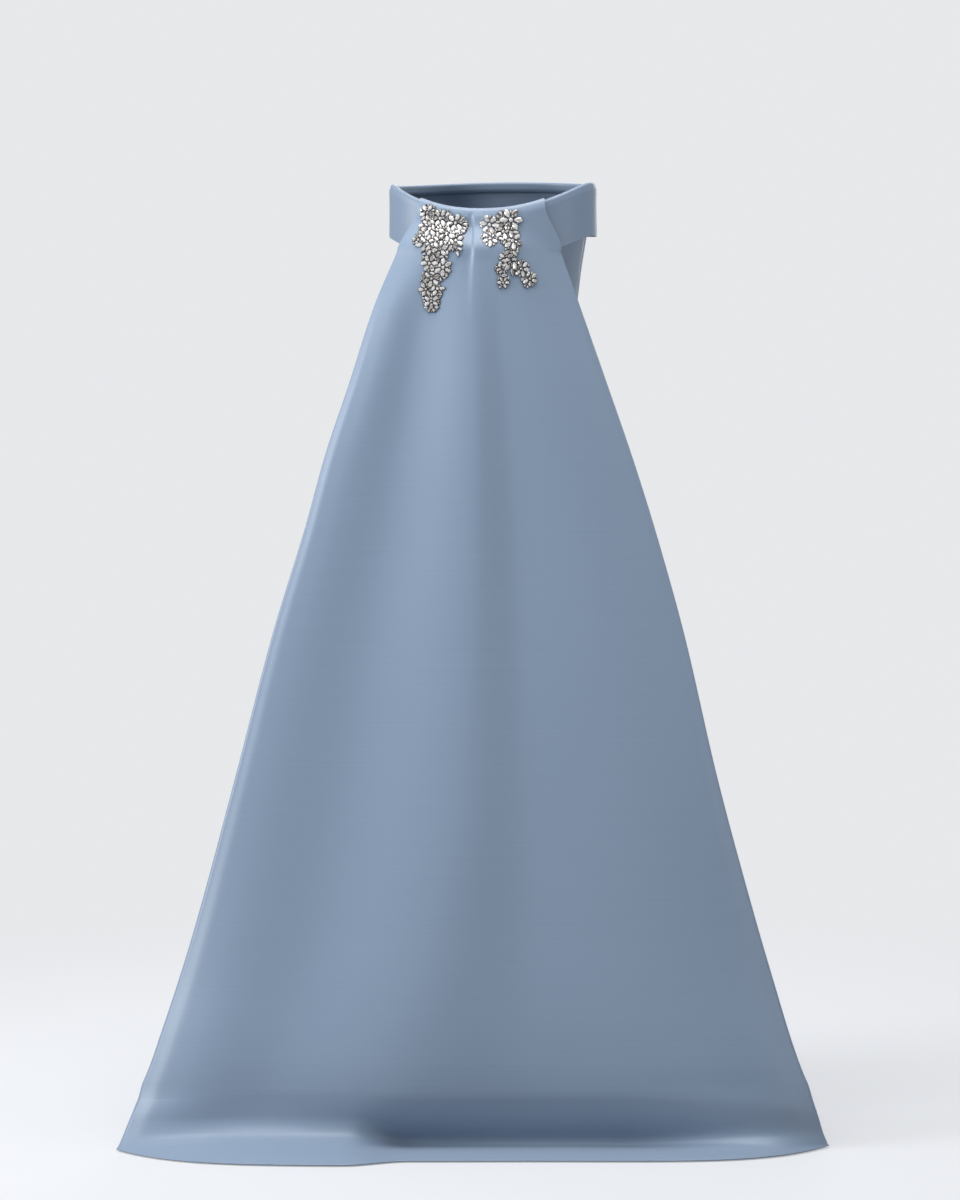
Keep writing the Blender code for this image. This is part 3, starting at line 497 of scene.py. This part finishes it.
def ontoCuff(point, across, dropped):  # near the neckline the train lies on the cuff, by the share given back
    sewn = train["sewnLength"]
    onCuff = 1 - fadeIn(dropped, sewn, gown["backNeckHeight"] - train["rows"][0][0] - sewn)
    if onCuff > 0:
        flat = cuffPoint(topAngle(across), dropped, train["cadCloth"] + train["onCuff"])
        point = clearOfCuff(point.lerp(flat, onCuff))
    return point, onCuff


def trainPoint(u, line):
    kind, first, second = line
    if kind == "fold":
        across, _ = trainShare(u, 0.0)
        return foldPoint(topAngle(across), first, second)
    if kind == "break":
        across, _ = trainShare(u, 1.0)
        return breakingPoint(across, *second)
    row, knots = second
    dropped = gown["backNeckHeight"] - first
    across, s = trainShare(u, pleatOpened(dropped))
    point, onCuff = ontoCuff(hangingPoint(across, first, row, knots), across, dropped)
    halfWidth = mix((row[1] + row[2]) / 2, train["topHalfWidth"], onCuff)
    return point + Vector((0, pleatRelief(s * halfWidth, dropped), 0))


def makeTrain(material):
    bm = clothGrid(train["columns"], trainLines(), trainPoint)
    turnOutwards(bm, Vector((0, 1, 1)))
    area = sheetArea(bm)
    piece = finishPiece("backTrain", bm, "train", material, thickness=train["cloth"])


# in millimetres, laid out flat: out from the pleat, and down from the top
spray = {
    # shares of a petal's length, then of a leaf's
    "petalWidth": 0.62, "petalFrom": 0.30, "petalLean": -0.10, "eyeRadius": 0.24,
    "leafWidth": 0.48, "leafFrom": 0.24, "leafSpacing": 0.62, "endLeafLean": 0.06,
    "leafAngle": 50, "pointedness": 1.8,
    "stoneGap": 0.30, "fillerGap": 0.25, "surelyApart": 16, "longestReach": 6.5,
    "fillerStep": 0.33, "fillerRow": 0.866, "fillerMargin": 0.30, "fillerClear": 0.7,
    "fillerTurns": (0, 40, -40, 86),  # the ways a filling stone may lie, in degrees
    "standOff": 0.8, "sunk": 0.6,
    # a stone's height at its girdle and at its top, for small ones and for those that reach fullReach
    "lowGirdle": 1.2, "girdle": 1.9, "lowCrown": 0.9, "crest": 3.7, "fullReach": 5,
    "unevenness": 0.35, "girdleWall": 0.9, "tableInset": 0.30, "tableLimit": 0.68,
    "settingRim": 0.45, "belowGirdle": 0.35, "prong": 0.42, "prongInset": 0.15, "prongRise": 0.05,
    "waves": {"lift": 2.4, "stone": 1.9, "facet": 3.7, "nextFacet": 2.1},  # steps along a sine that vary them
    "netHalf": 30, "netRows": 27, "netStep": 0.008,  # the rows of points on the train, in metres
    "knotStep": 2.5, "tiltAside": 2, "tiltDown": 3, "tiltUp": 1,
    # kind, out, down, angle, size, count
    "left": [
        ("flower", 27, 19, 10, 11.0, 6), ("flower", 50, 12, 0, 11.0, 6), ("flower", 71, 3, 20, 10.0, 5),
        ("flower", 40, 35, 35, 10.5, 6), ("flower", 66, 27, 5, 11.0, 6), ("flower", 27, 45, 25, 9.5, 6),
        ("sprig", 62, 49, 5, 11.5, 2), ("flower", 83, 43, 0, 7.5, 6), ("sprig", 27, 55, 110, 8.5, 1),
        ("flower", 50, 57, 15, 9.5, 6), ("flower", 64, 77, 0, 10.0, 6), ("flower", 44, 83, 30, 10.5, 6),
        ("flower", 60, 99, 20, 10.0, 6), ("flower", 68, 114, 5, 8.5, 6), ("flower", 51, 113, 0, 9.0, 6),
        ("flower", 60, 131, 30, 9.0, 6),
    ],
    "right": [
        ("flower", 22, 22, 10, 11.5, 6), ("flower", 53, 15, 0, 13.0, 6), ("flower", 22, 42, 30, 9.5, 6),
        ("flower", 41, 32, 0, 10.0, 5), ("flower", 54, 45, 20, 11.0, 6), ("sprig", 52, 58, 95, 10.0, 1),
        ("sprig", 55, 72, 122, 13.5, 2), ("sprig", 53, 77, 80, 11.5, 1), ("flower", 43, 105, 0, 7.0, 6),
        ("flower", 68, 85, 10, 9.5, 6), ("flower", 81, 99, 25, 9.0, 6),
    ],
    # the patches that smaller stones fill: out, down, radius
    "leftPatches": [
        (24, 22, 15), (46, 14, 16), (70, 4, 14), (40, 34, 18), (68, 28, 16), (30, 48, 12), (58, 48, 14),
        (82, 44, 10), (48, 62, 12), (64, 70, 12), (50, 86, 17), (62, 100, 15), (60, 118, 16), (60, 134, 13),
    ],
    "rightPatches": [
        (22, 22, 14), (22, 40, 13), (46, 18, 18), (50, 38, 16), (54, 56, 11), (48, 72, 13), (40, 84, 10),
        (44, 100, 9), (68, 84, 12), (80, 100, 12),
    ],
    # the filling stones, largest first: length, width, sides
    "fillers": [(9.0, 4.9, 12), (7.0, 4.0, 12), (5.2, 3.2, 8), (3.4, 3.4, 6), (2.5, 2.5, 6)],
}


def placed(points, x, y, angle):
    cosine, sine = math.cos(angle), math.sin(angle)
    return [(x + px * cosine - py * sine, y + px * sine + py * cosine) for px, py in points]


def pointedStone(x, y, angle, length, width, lean, sides=12):  # a marquise, or a pear where it leans back
    full = length * (0.5 - lean)
    flat = []
    for k in range(sides):
        turn = 2 * math.pi * k / sides
        reach = length - full if math.cos(turn) > 0 else full
        px = full + reach * math.cos(turn)
        py = width / 2 * math.copysign(abs(math.sin(turn)) ** spray["pointedness"], math.sin(turn))
        flat.append((px, py))
    return placed(flat, x, y, angle)


def roundStone(x, y, angle, radius, sides=8):
    turn = 2 * math.pi / sides
    flat = [(radius * math.cos(k * turn), radius * math.sin(k * turn)) for k in range(sides)]
    return placed(flat, x, y, angle)


def motifStones(kind, out, down, angle, size, count):
    turn = math.radians(angle)
    if kind == "flower":
        yield roundStone(out, down, turn, size * spray["eyeRadius"])
        for k in range(count):
            petal = turn + 2 * math.pi * k / count
            x, y = placed([(size * spray["petalFrom"], 0)], out, down, petal)[0]
            lean = 0.0 if k % 2 else spray["petalLean"]
            yield pointedStone(x, y, petal, size, size * spray["petalWidth"], lean)
        return
    for k in range(count):
        x, y = placed([(size * spray["leafSpacing"] * k, 0)], out, down, turn)[0]
        for side in (1, -1):
            leaf = turn + side * math.radians(spray["leafAngle"])
            start = placed([(size * spray["leafFrom"], 0)], x, y, leaf)[0]
            yield pointedStone(*start, leaf, size, size * spray["leafWidth"], 0.0)
    x, y = placed([(size * spray["leafSpacing"] * count, 0)], out, down, turn)[0]
    yield pointedStone(x, y, turn, size, size * spray["leafWidth"], spray["endLeafLean"])


def stonesApart(first, second, gap):  # two outlines are apart where a line along one's side parts them
    if math.dist(middleOf(first), middleOf(second)) > spray["surelyApart"]:
        return True
    for outline in (first, second):
        for (ax, ay), (bx, by) in zip(outline, outline[1:] + outline[:1]):
            length = math.hypot(bx - ax, by - ay)
            nx, ny = (by - ay) / length, (ax - bx) / length
            one = [px * nx + py * ny for px, py in first]
            two = [px * nx + py * ny for px, py in second]
            if min(two) - max(one) > gap or min(one) - max(two) > gap:
                return True
    return False


def fillerSpots(patches, length):  # a fine staggered grid over each patch
    step = length * spray["fillerStep"]
    for px, py, radius in patches:
        reach = int(radius / step) + 1
        for j in range(-reach, reach + 1):
            for i in range(-reach, reach + 1):
                dx, dy = (i + 0.5 * (j % 2)) * step, j * step * spray["fillerRow"]
                if math.hypot(dx, dy) <= radius - length * spray["fillerMargin"]:
                    yield px + dx, py + dy, math.atan2(dy, dx)


def fillersAt(x, y, away, length, width, sides):  # the stones that may fill one spot
    if sides == 6:
        yield roundStone(x, y, away, width / 2, sides=6)
        return
    for turn in spray["fillerTurns"]:
        angle = away + math.radians(turn)
        start = placed([(-length / 2, 0)], x, y, angle)[0]
        yield pointedStone(*start, angle, length, width, 0.0, sides)


def sprayStones(motifs, patches):
    wanted = [list(motifStones(*motif)) for motif in motifs]
    inOrder = [stones[0] for stones in wanted] + [stone for stones in wanted for stone in stones[1:]]
    kept = []
    for stone in inOrder:
        if all(stonesApart(stone, other, spray["stoneGap"]) for other in kept):
            kept.append(stone)
    middles = [middleOf(stone) for stone in kept]
    for length, width, sides in spray["fillers"]:
        for x, y, away in fillerSpots(patches, length):
            near = sorted((math.dist((x, y), middle), k) for k, middle in enumerate(middles))
            if near[0][0] < width * spray["fillerClear"]:
                continue
            around = [kept[k] for distance, k in near if distance < spray["longestReach"] + length / 2]
            for stone in fillersAt(x, y, away, length, width, sides):
                if all(stonesApart(stone, other, spray["fillerGap"]) for other in around):
                    kept.append(stone)
                    middles.append(middleOf(stone))
                    break
    return kept


def middleOf(outline):
    return sum(x for x, _ in outline) / len(outline), sum(y for _, y in outline) / len(outline)


def scaledOutline(outline, rim):
    mx, my = middleOf(outline)
    grown = []
    for x, y in outline:
        reach = math.hypot(x - mx, y - my)
        grown.append((x + (x - mx) / reach * rim, y + (y - my) / reach * rim))
    return grown


def trainNet():  # rows of points down the train's smooth face, to lay the sprays on
    half = spray["netHalf"]
    shares = [k / half - 1 for k in range(2 * half + 1)]
    rows = []
    for out, up in train["fold"][-3:]:
        rows.append([foldPoint(topAngle(pastPleat(s, 0.0)), out, up) for s in shares])
    for k in range(1, spray["netRows"] + 1):
        height = gown["backNeckHeight"] - train["foldDrop"] - spray["netStep"] * k
        dropped = gown["backNeckHeight"] - height
        row, knots = hangingRow(height), foldSection(height)
        line = []
        for s in shares:
            across = pastPleat(s, pleatOpened(dropped))
            point, _ = ontoCuff(hangingPoint(across, height, row, knots), across, dropped)
            line.append(point)
        rows.append(line)
    return rows


def alongRow(row, out):
    place = len(row) // 2
    step = 1 if out > 0 else -1
    left = abs(out)
    while True:
        length = (row[place + step] - row[place]).length
        if left <= length or place + step in (0, len(row) - 1):
            return row[place].lerp(row[place + step], left / length)
        left -= length
        place += step


def onTrain(rows, out, down):
    wanted = gown["backNeckHeight"] - gown["underarmHeight"] - down * mm
    before = None
    for row in rows:
        point = alongRow(row, out * mm)
        if before is not None and point.z <= wanted:
            return before.lerp(point, (before.z - wanted) / (before.z - point.z))
        before = point
    return point


def sprayMapper(rows, side):  # from the flat layout to the train's face, over a net of known points
    net = {}
    step, aside = spray["knotStep"], spray["tiltAside"]

    def knot(i, j):
        if (i, j) not in net:
            x, y = side * (i * step), j * step
            right = onTrain(rows, x + aside, y) - onTrain(rows, x - aside, y)
            down = onTrain(rows, x, y + spray["tiltDown"]) - onTrain(rows, x, y - spray["tiltUp"])
            normal = right.cross(down).normalized()
            if normal.y < 0:
                normal.negate()
            net[(i, j)] = (onTrain(rows, x, y), normal)
        return net[(i, j)]

    def lay(x, y, rise):
        i, j = math.floor(x / step), math.floor(y / step)
        u, v = x / step - i, y / step - j
        (above, normalAbove), (below, normalBelow) = [
            (p0.lerp(p1, u), n0.lerp(n1, u))
            for (p0, n0), (p1, n1) in ((knot(i, row), knot(i + 1, row)) for row in (j, j + 1))
        ]
        return above.lerp(below, v) + normalAbove.lerp(normalBelow, v).normalized() * (rise * mm)
    return lay


def extruded(bm, face):  # the face, pulled off its outline with walls left around it
    pulled = bmesh.ops.extrude_face_region(bm, geom=[face])
    return [part for part in pulled["geom"] if isinstance(part, bmesh.types.BMFace)][0]


def narrowest(outline):  # the least width, over twelve directions
    widths = []
    for k in range(12):
        c, s = math.cos(k * math.pi / 12), math.sin(k * math.pi / 12)
        along = [x * c + y * s for x, y in outline]
        widths.append(max(along) - min(along))
    return min(widths)


def sortFacets(bm, outline, girdle):  # an extrusion leaves its walls in any order, so they get a fixed one
    mx, my = middleOf(outline)

    def order(face):  # by height, the table before its crown, and then round the stone
        middle = face.calc_center_median()
        level = middle.z if len(face.verts) == 4 else min(middle.z, girdle)
        return level * 100 + math.atan2(middle.y - my, middle.x - mx)
    bm.faces.sort(key=order)


def addStone(bm, outline, girdle, crest):  # a cut stone: a girdle wall, slanted crown facets and a flat table
    wall = spray["girdleWall"]
    face = bm.faces.new([bm.verts.new((x, y, girdle - wall)) for x, y in outline])
    top = extruded(bm, face)
    bmesh.ops.translate(bm, verts=top.verts, vec=(0, 0, wall))
    table = extruded(bm, top)
    mx, my = middleOf(outline)
    inset = narrowest(outline) * spray["tableInset"]
    for vert in table.verts:
        toMiddle = Vector((mx - vert.co.x, my - vert.co.y, 0))
        vert.co += toMiddle.normalized() * min(inset, toMiddle.length * spray["tableLimit"])
        vert.co.z += crest - girdle
    bmesh.ops.delete(bm, geom=[top], context="FACES_ONLY")  # it would stay inside the stone
    sortFacets(bm, outline, girdle)


def addSetting(bm, outline, girdle):  # a dark cup under the stone, with prongs round it
    rim = scaledOutline(outline, spray["settingRim"])
    face = bm.faces.new([bm.verts.new((x, y, 0.0)) for x, y in rim])
    top = extruded(bm, face)
    bmesh.ops.translate(bm, verts=top.verts, vec=(0, 0, girdle - spray["belowGirdle"]))
    every = len(outline) // (4 if len(outline) > 6 else 3)
    for x, y in scaledOutline(outline, -spray["prongInset"])[::every]:
        bead = bmesh.ops.create_icosphere(bm, subdivisions=1, radius=spray["prong"])
        bmesh.ops.translate(bm, verts=bead["verts"], vec=(x, y, girdle + spray["prongRise"]))


def makeSpray(hand, side, net, crystal, metal):
    lay = sprayMapper(net, side)
    waves = spray["waves"]
    stoneMesh, settingMesh = bmesh.new(), bmesh.new()
    scratch = bpy.data.meshes.new("oneStone")
    for number, outline in enumerate(sprayStones(spray[hand], spray[hand + "Patches"])):
        reach = max(math.dist(middleOf(outline), corner) for corner in outline)
        fullness = min(1.0, reach / spray["fullReach"])
        lift = spray["unevenness"] * math.sin(number * waves["lift"])  # neighbours sit at different heights
        girdle = spray["lowGirdle"] + fullness * (spray["girdle"] - spray["lowGirdle"]) + lift
        crown = spray["crest"] - spray["girdle"] - spray["lowCrown"]
        crest = girdle + spray["lowCrown"] + fullness * crown
        stone = bmesh.new()
        # this colour attribute on the facets carries painted reflection
        glintLayer = stone.faces.layers.float_color.new("paintedFacetGlint")
        addStone(stone, outline, girdle, crest)
        # each stone also gets its own painted glint, which makes the whole stone lighter or darker
        stoneGlint = 0.5 + 0.5 * math.sin(number * waves["stone"])
        for k, face in enumerate(stone.faces, start=1):  # each facet gets its own painted glint, a painted reflection of the room
            glint = 0.5 + 0.5 * math.sin(number * waves["facet"] + k * waves["nextFacet"])
            face[glintLayer] = (glint, stoneGlint, 0, 1)
        setting = bmesh.new()
        addSetting(setting, outline, girdle)
        for small, whole in ((stone, stoneMesh), (setting, settingMesh)):
            small.to_mesh(scratch)
            small.free()
            whole.from_mesh(scratch)
    bpy.data.meshes.remove(scratch)
    for bm in (stoneMesh, settingMesh):
        for vert in bm.verts:
            vert.co = lay(vert.co.x, vert.co.y, vert.co.z + spray["standOff"] - spray["sunk"])
        bmesh.ops.recalc_face_normals(bm, faces=bm.faces)
    print(hand, "spray: facets", len(stoneMesh.faces), "faces of settings", len(settingMesh.faces))
    node = "crystal_spray_" + hand
    finishPiece(hand + "SprayStones", stoneMesh, node, crystal, smoothAngle=10)
    finishPiece(hand + "SpraySettings", settingMesh, node, metal, smoothAngle=30)


def newGroup(name, inputs, outputs):
    tree = bpy.data.node_groups.new(name, "ShaderNodeTree")
    for label, kind, value in inputs:
        socket = tree.interface.new_socket(label, in_out="INPUT", socket_type=kind)
        if value is not None:
            socket.default_value = value
    for label, kind in outputs:
        tree.interface.new_socket(label, in_out="OUTPUT", socket_type=kind)
    return tree, tree.nodes.new("NodeGroupInput"), tree.nodes.new("NodeGroupOutput")


def addNode(tree, kind, settings=None, **inputs):
    node = tree.nodes.new(kind)
    for key, value in (settings or {}).items():
        setattr(node, key, value)
    for key, value in inputs.items():
        node.inputs[key.replace("_", " ")].default_value = value
    return node


def mathNode(tree, operation, first, second=None):
    node = tree.nodes.new("ShaderNodeMath")
    node.operation = operation
    for socket, value in zip(node.inputs, (first, second)):
        if value is None:
            continue
        if isinstance(value, (int, float)):
            socket.default_value = value
        else:
            tree.links.new(value, socket)
    return node.outputs[0]


satin = {
    "threads": 900.0, "ribHeight": 0.25,
    "slub": 0.5, "slubStretch": (3.0, 260.0, 1.0),  # long and thin across the cloth
    "cloudScale": 5.0, "cloudShade": 0.25,
    "roughness": 0.36, "roughnessSpread": 0.12,
    "bump": 0.12, "bumpDistance": 0.0003,
    "sheenRoughness": 0.4, "specular": 0.6,
    # colour, shade, sheen
    "train": ((0.235, 0.315, 0.430), (0.200, 0.272, 0.380), 0.15),
    # the column's colour and shade are the train's darkened to 85 %, as painted shade
    "column": ((0.200, 0.269, 0.371), (0.172, 0.232, 0.324), 0.10),
    # the cuff's colour and shade are the train's darkened to about 87 %, as painted shade
    "cuff": ((0.205, 0.275, 0.378), (0.175, 0.238, 0.332), 0.10),
}


def satinWeaveGroup():
    number, colour = "NodeSocketFloat", "NodeSocketColor"
    tree, given, result = newGroup(
        "satinWeave",
        [("Threads", number, satin["threads"]), ("Slub", number, satin["slub"]), ("Colour", colour, None),
         ("Shade", colour, None)],
        [("Colour", colour), ("Roughness", number), ("Height", number)],
    )
    uv = addNode(tree, "ShaderNodeUVMap", {"uv_map": "cloth"})
    place = addNode(tree, "ShaderNodeTexCoord")
    stretch = addNode(tree, "ShaderNodeMapping")
    stretch.inputs["Scale"].default_value = satin["slubStretch"]
    tree.links.new(uv.outputs["UV"], stretch.inputs["Vector"])
    slub = addNode(tree, "ShaderNodeTexNoise", Scale=1.0, Detail=3.0, Roughness=0.6)
    tree.links.new(stretch.outputs["Vector"], slub.inputs["Vector"])
    cloud = addNode(tree, "ShaderNodeTexNoise", Scale=satin["cloudScale"], Detail=2.0, Roughness=0.5)
    tree.links.new(place.outputs["Object"], cloud.inputs["Vector"])
    down = addNode(tree, "ShaderNodeSeparateXYZ")
    tree.links.new(uv.outputs["UV"], down.inputs["Vector"])
    rib = mathNode(tree, "SINE", mathNode(tree, "MULTIPLY", down.outputs["Y"], given.outputs["Threads"]))
    blend = addNode(tree, "ShaderNodeMix", {"data_type": "RGBA"})
    fine = mathNode(tree, "MULTIPLY", slub.outputs["Fac"], given.outputs["Slub"])
    broad = mathNode(tree, "MULTIPLY", cloud.outputs["Fac"], satin["cloudShade"])
    amount = mathNode(tree, "ADD", fine, broad)
    tree.links.new(amount, blend.inputs["Factor"])
    tree.links.new(given.outputs["Colour"], blend.inputs["A"])
    tree.links.new(given.outputs["Shade"], blend.inputs["B"])
    tree.links.new(blend.outputs["Result"], result.inputs["Colour"])
    spread = mathNode(tree, "MULTIPLY", slub.outputs["Fac"], satin["roughnessSpread"])
    tree.links.new(mathNode(tree, "ADD", satin["roughness"], spread), result.inputs["Roughness"])
    height = mathNode(tree, "ADD", mathNode(tree, "MULTIPLY", rib, satin["ribHeight"]), slub.outputs["Fac"])
    tree.links.new(height, result.inputs["Height"])
    return tree


def newMaterial(name):
    material = bpy.data.materials.new(name)
    material.use_nodes = True
    return material, material.node_tree, material.node_tree.nodes["Principled BSDF"]


def satinMaterial(name, group, colour, shade, sheen):
    material, tree, shader = newMaterial(name)
    weave = tree.nodes.new("ShaderNodeGroup")
    weave.node_tree = group
    weave.inputs["Colour"].default_value = (*colour, 1)
    weave.inputs["Shade"].default_value = (*shade, 1)
    bump = addNode(tree, "ShaderNodeBump", Strength=satin["bump"], Distance=satin["bumpDistance"])
    tree.links.new(weave.outputs["Height"], bump.inputs["Height"])
    tree.links.new(bump.outputs["Normal"], shader.inputs["Normal"])
    tree.links.new(weave.outputs["Colour"], shader.inputs["Base Color"])
    tree.links.new(weave.outputs["Roughness"], shader.inputs["Roughness"])
    shader.inputs["Sheen Weight"].default_value = sheen
    shader.inputs["Sheen Roughness"].default_value = satin["sheenRoughness"]
    shader.inputs["Specular IOR Level"].default_value = satin["specular"]
    return material


crystalLook = {
    # painted reflection colours, and their place on the ramp that each facet reads
    "deep": ((0.17, 0.152, 0.14), 0.10),
    "warm": ((0.52, 0.49, 0.455), 0.32),
    "clear": ((0.88, 0.88, 0.88), 0.78),
    "facetShare": 0.62, "stoneShare": 0.38,
    "roughness": 0.12, "metallic": 0.25, "ior": 1.8, "coat": 0.5,
}


def crystalMaterial():  # the base colour is painted reflection: most facets painted clear white, some painted in the brown and grey of what lies behind
    material, tree, shader = newMaterial("cutCrystal")
    facet = addNode(tree, "ShaderNodeAttribute", {"attribute_name": "paintedFacetGlint"})
    split = addNode(tree, "ShaderNodeSeparateColor")
    tree.links.new(facet.outputs["Color"], split.inputs["Color"])
    ramp = addNode(tree, "ShaderNodeValToRGB")
    stops = ramp.color_ramp.elements
    for stop, name in zip(stops, ("deep", "clear")):
        colour, stop.position = crystalLook[name]
        stop.color = (*colour, 1)
    colour, position = crystalLook["warm"]
    stops.new(position).color = (*colour, 1)
    # the painted glint of the facet and of the stone pick the painted reflection colour on the ramp
    ofFacet = mathNode(tree, "MULTIPLY", split.outputs["Red"], crystalLook["facetShare"])
    ofStone = mathNode(tree, "MULTIPLY", split.outputs["Green"], crystalLook["stoneShare"])
    tree.links.new(mathNode(tree, "ADD", ofFacet, ofStone), ramp.inputs["Fac"])
    tree.links.new(ramp.outputs["Color"], shader.inputs["Base Color"])
    shader.inputs["Roughness"].default_value = crystalLook["roughness"]
    shader.inputs["Metallic"].default_value = crystalLook["metallic"]
    shader.inputs["IOR"].default_value = crystalLook["ior"]
    shader.inputs["Coat Weight"].default_value = crystalLook["coat"]
    return material


metalLook = {
    "dark": (0.014, 0.013, 0.014), "bright": (0.11, 0.105, 0.105), "tarnishScale": 400.0, "roughness": 0.38,
}


def metalMaterial():
    material, tree, shader = newMaterial("darkSilver")
    place = addNode(tree, "ShaderNodeTexCoord")
    tarnish = addNode(tree, "ShaderNodeTexNoise", Scale=metalLook["tarnishScale"], Detail=3.0)
    tree.links.new(place.outputs["Object"], tarnish.inputs["Vector"])
    ramp = addNode(tree, "ShaderNodeValToRGB")
    ramp.color_ramp.elements[0].color = (*metalLook["dark"], 1)
    ramp.color_ramp.elements[1].color = (*metalLook["bright"], 1)
    tree.links.new(tarnish.outputs["Fac"], ramp.inputs["Fac"])
    tree.links.new(ramp.outputs["Color"], shader.inputs["Base Color"])
    shader.inputs["Metallic"].default_value = 1.0
    shader.inputs["Roughness"].default_value = metalLook["roughness"]
    return material


studio = {
    "backdrop": (0.80, 0.81, 0.83),
    "cameraDistance": 5.0, "cameraHeight": 1.02, "lens": 102.5, "sensor": 36, "turn": 9.0, "pitch": 3.255,
    "aside": 0.0184,  # the frame's centre lies this far from the body's axis
    "fill": 0.30,
    "floor": (0.42, 0.43, 0.45), "floorGlow": 0.42, "floorRadius": 30, "floorBelow": 0.0005,
    "floorRoughness": 0.9, "floorSpecular": 0.1,
    "fadeFrom": 1.45, "fadeTo": 2.4,  # the floor turns into the backdrop between these distances
    "lampAim": (0, 0.1, -0.6),
    # name, azimuth, elevation, distance, size, power
    "lamps": [
        ("keyLamp", 118, 16, 3.6, (1.6, 2.6), 98),
        ("topLamp", 180, 86, 3.4, (3.0, 3.0), 135),
        ("sideLamp", -112, 10, 3.6, (1.0, 2.6), 11),
        ("frontLamp", 0, 22, 4.0, (2.0, 2.4), 35),
    ],
}


def makeFloor():
    bm = bmesh.new()
    bmesh.ops.create_circle(bm, cap_ends=True, segments=96, radius=studio["floorRadius"])
    bmesh.ops.translate(bm, verts=bm.verts, vec=(0, 0, floorZ - studio["floorBelow"]))
    mesh = bpy.data.meshes.new("studioFloor")
    bm.to_mesh(mesh)
    bm.free()
    material, tree, shader = newMaterial("paleFloor")
    shader.inputs["Roughness"].default_value = studio["floorRoughness"]
    shader.inputs["Specular IOR Level"].default_value = studio["floorSpecular"]
    shader.inputs["Base Color"].default_value = (*studio["floor"], 1)
    shader.inputs["Emission Color"].default_value = (*studio["backdrop"], 1)
    ray = tree.nodes.new("ShaderNodeLightPath")
    lift = mathNode(tree, "MULTIPLY", ray.outputs["Is Camera Ray"], studio["floorGlow"])
    tree.links.new(lift, shader.inputs["Emission Strength"])
    place = addNode(tree, "ShaderNodeTexCoord")
    reach = addNode(tree, "ShaderNodeVectorMath", {"operation": "LENGTH"})
    tree.links.new(place.outputs["Object"], reach.inputs[0])
    far = addNode(tree, "ShaderNodeMapRange", {"interpolation_type": "SMOOTHSTEP"},
                  From_Min=studio["fadeFrom"], From_Max=studio["fadeTo"])
    tree.links.new(reach.outputs["Value"], far.inputs["Value"])
    glow = addNode(tree, "ShaderNodeEmission", Color=(*studio["backdrop"], 1), Strength=1.0)
    blend = tree.nodes.new("ShaderNodeMixShader")
    tree.links.new(far.outputs["Result"], blend.inputs[0])
    tree.links.new(shader.outputs[0], blend.inputs[1])
    tree.links.new(glow.outputs[0], blend.inputs[2])
    tree.links.new(blend.outputs[0], tree.nodes["Material Output"].inputs["Surface"])
    mesh.materials.append(material)
    floor = bpy.data.objects.new("studioFloor", mesh)
    bpy.context.scene.collection.objects.link(floor)


def makeCamera():
    turn = math.radians(studio["turn"])
    behind = Vector((-math.sin(turn), math.cos(turn), 0))
    left = Vector((math.cos(turn), math.sin(turn), 0))
    data = bpy.data.cameras.new("studioCamera")
    data.lens = studio["lens"]
    data.sensor_width = studio["sensor"]
    camera = bpy.data.objects.new("studioCamera", data)
    bpy.context.scene.collection.objects.link(camera)
    camera.location = behind * studio["cameraDistance"] + left * studio["aside"]
    camera.location.z = floorZ + studio["cameraHeight"]
    pitch = math.radians(studio["pitch"])
    aim = -behind * math.cos(pitch) + Vector((0, 0, -math.sin(pitch)))
    camera.rotation_euler = aim.to_track_quat("-Z", "Y").to_euler()
    bpy.context.scene.camera = camera


def addLight(name, azimuth, elevation, distance, size, power):
    data = bpy.data.lights.new(name, "AREA")
    data.shape = "RECTANGLE"
    data.size, data.size_y = size
    data.energy = power
    lamp = bpy.data.objects.new(name, data)
    bpy.context.scene.collection.objects.link(lamp)
    a, e = math.radians(azimuth), math.radians(elevation)
    back = Vector((math.sin(a) * math.cos(e), -math.cos(a) * math.cos(e), math.sin(e)))
    lamp.location = Vector(studio["lampAim"]) + back * distance
    lamp.rotation_euler = (-back).to_track_quat("-Z", "Y").to_euler()


def makeLight():
    world = bpy.data.worlds.new("studioWorld")
    bpy.context.scene.world = world
    world.use_nodes = True
    tree = world.node_tree
    seen = tree.nodes["Background"]
    seen.inputs["Color"].default_value = (*studio["backdrop"], 1)
    fill = addNode(tree, "ShaderNodeBackground", Color=(*studio["backdrop"], 1), Strength=studio["fill"])
    ray = tree.nodes.new("ShaderNodeLightPath")
    blend = tree.nodes.new("ShaderNodeMixShader")
    tree.links.new(ray.outputs["Is Camera Ray"], blend.inputs[0])
    tree.links.new(fill.outputs[0], blend.inputs[1])
    tree.links.new(seen.outputs[0], blend.inputs[2])
    tree.links.new(blend.outputs[0], tree.nodes["World Output"].inputs["Surface"])
    for lamp in studio["lamps"]:
        addLight(*lamp)


makeCamera()
makeLight()
makeFloor()
print("studio ready")
weave = satinWeaveGroup()
blueSatin = satinMaterial("blueSatin", weave, *satin["train"])
# the column and the cuff get darkened copies of the train's satin, as painted shade
shadedSatin = satinMaterial("shadedSatin", weave, *satin["column"])
shadedCuffSatin = satinMaterial("shadedCuffSatin", weave, *satin["cuff"])
crystal, metal = crystalMaterial(), metalMaterial()
print("materials ready")
for panel in column["panels"]:
    columnPanel(*panel, shadedSatin)
print("column ready")
makeCuff(shadedCuffSatin)
makeTrain(blueSatin)
print("cuff and train ready")
net = trainNet()
makeSpray("left", 1, net, crystal, metal)
makeSpray("right", -1, net, crystal, metal)
print("sprays ready")
bpy.context.scene.view_settings.view_transform = "Standard"
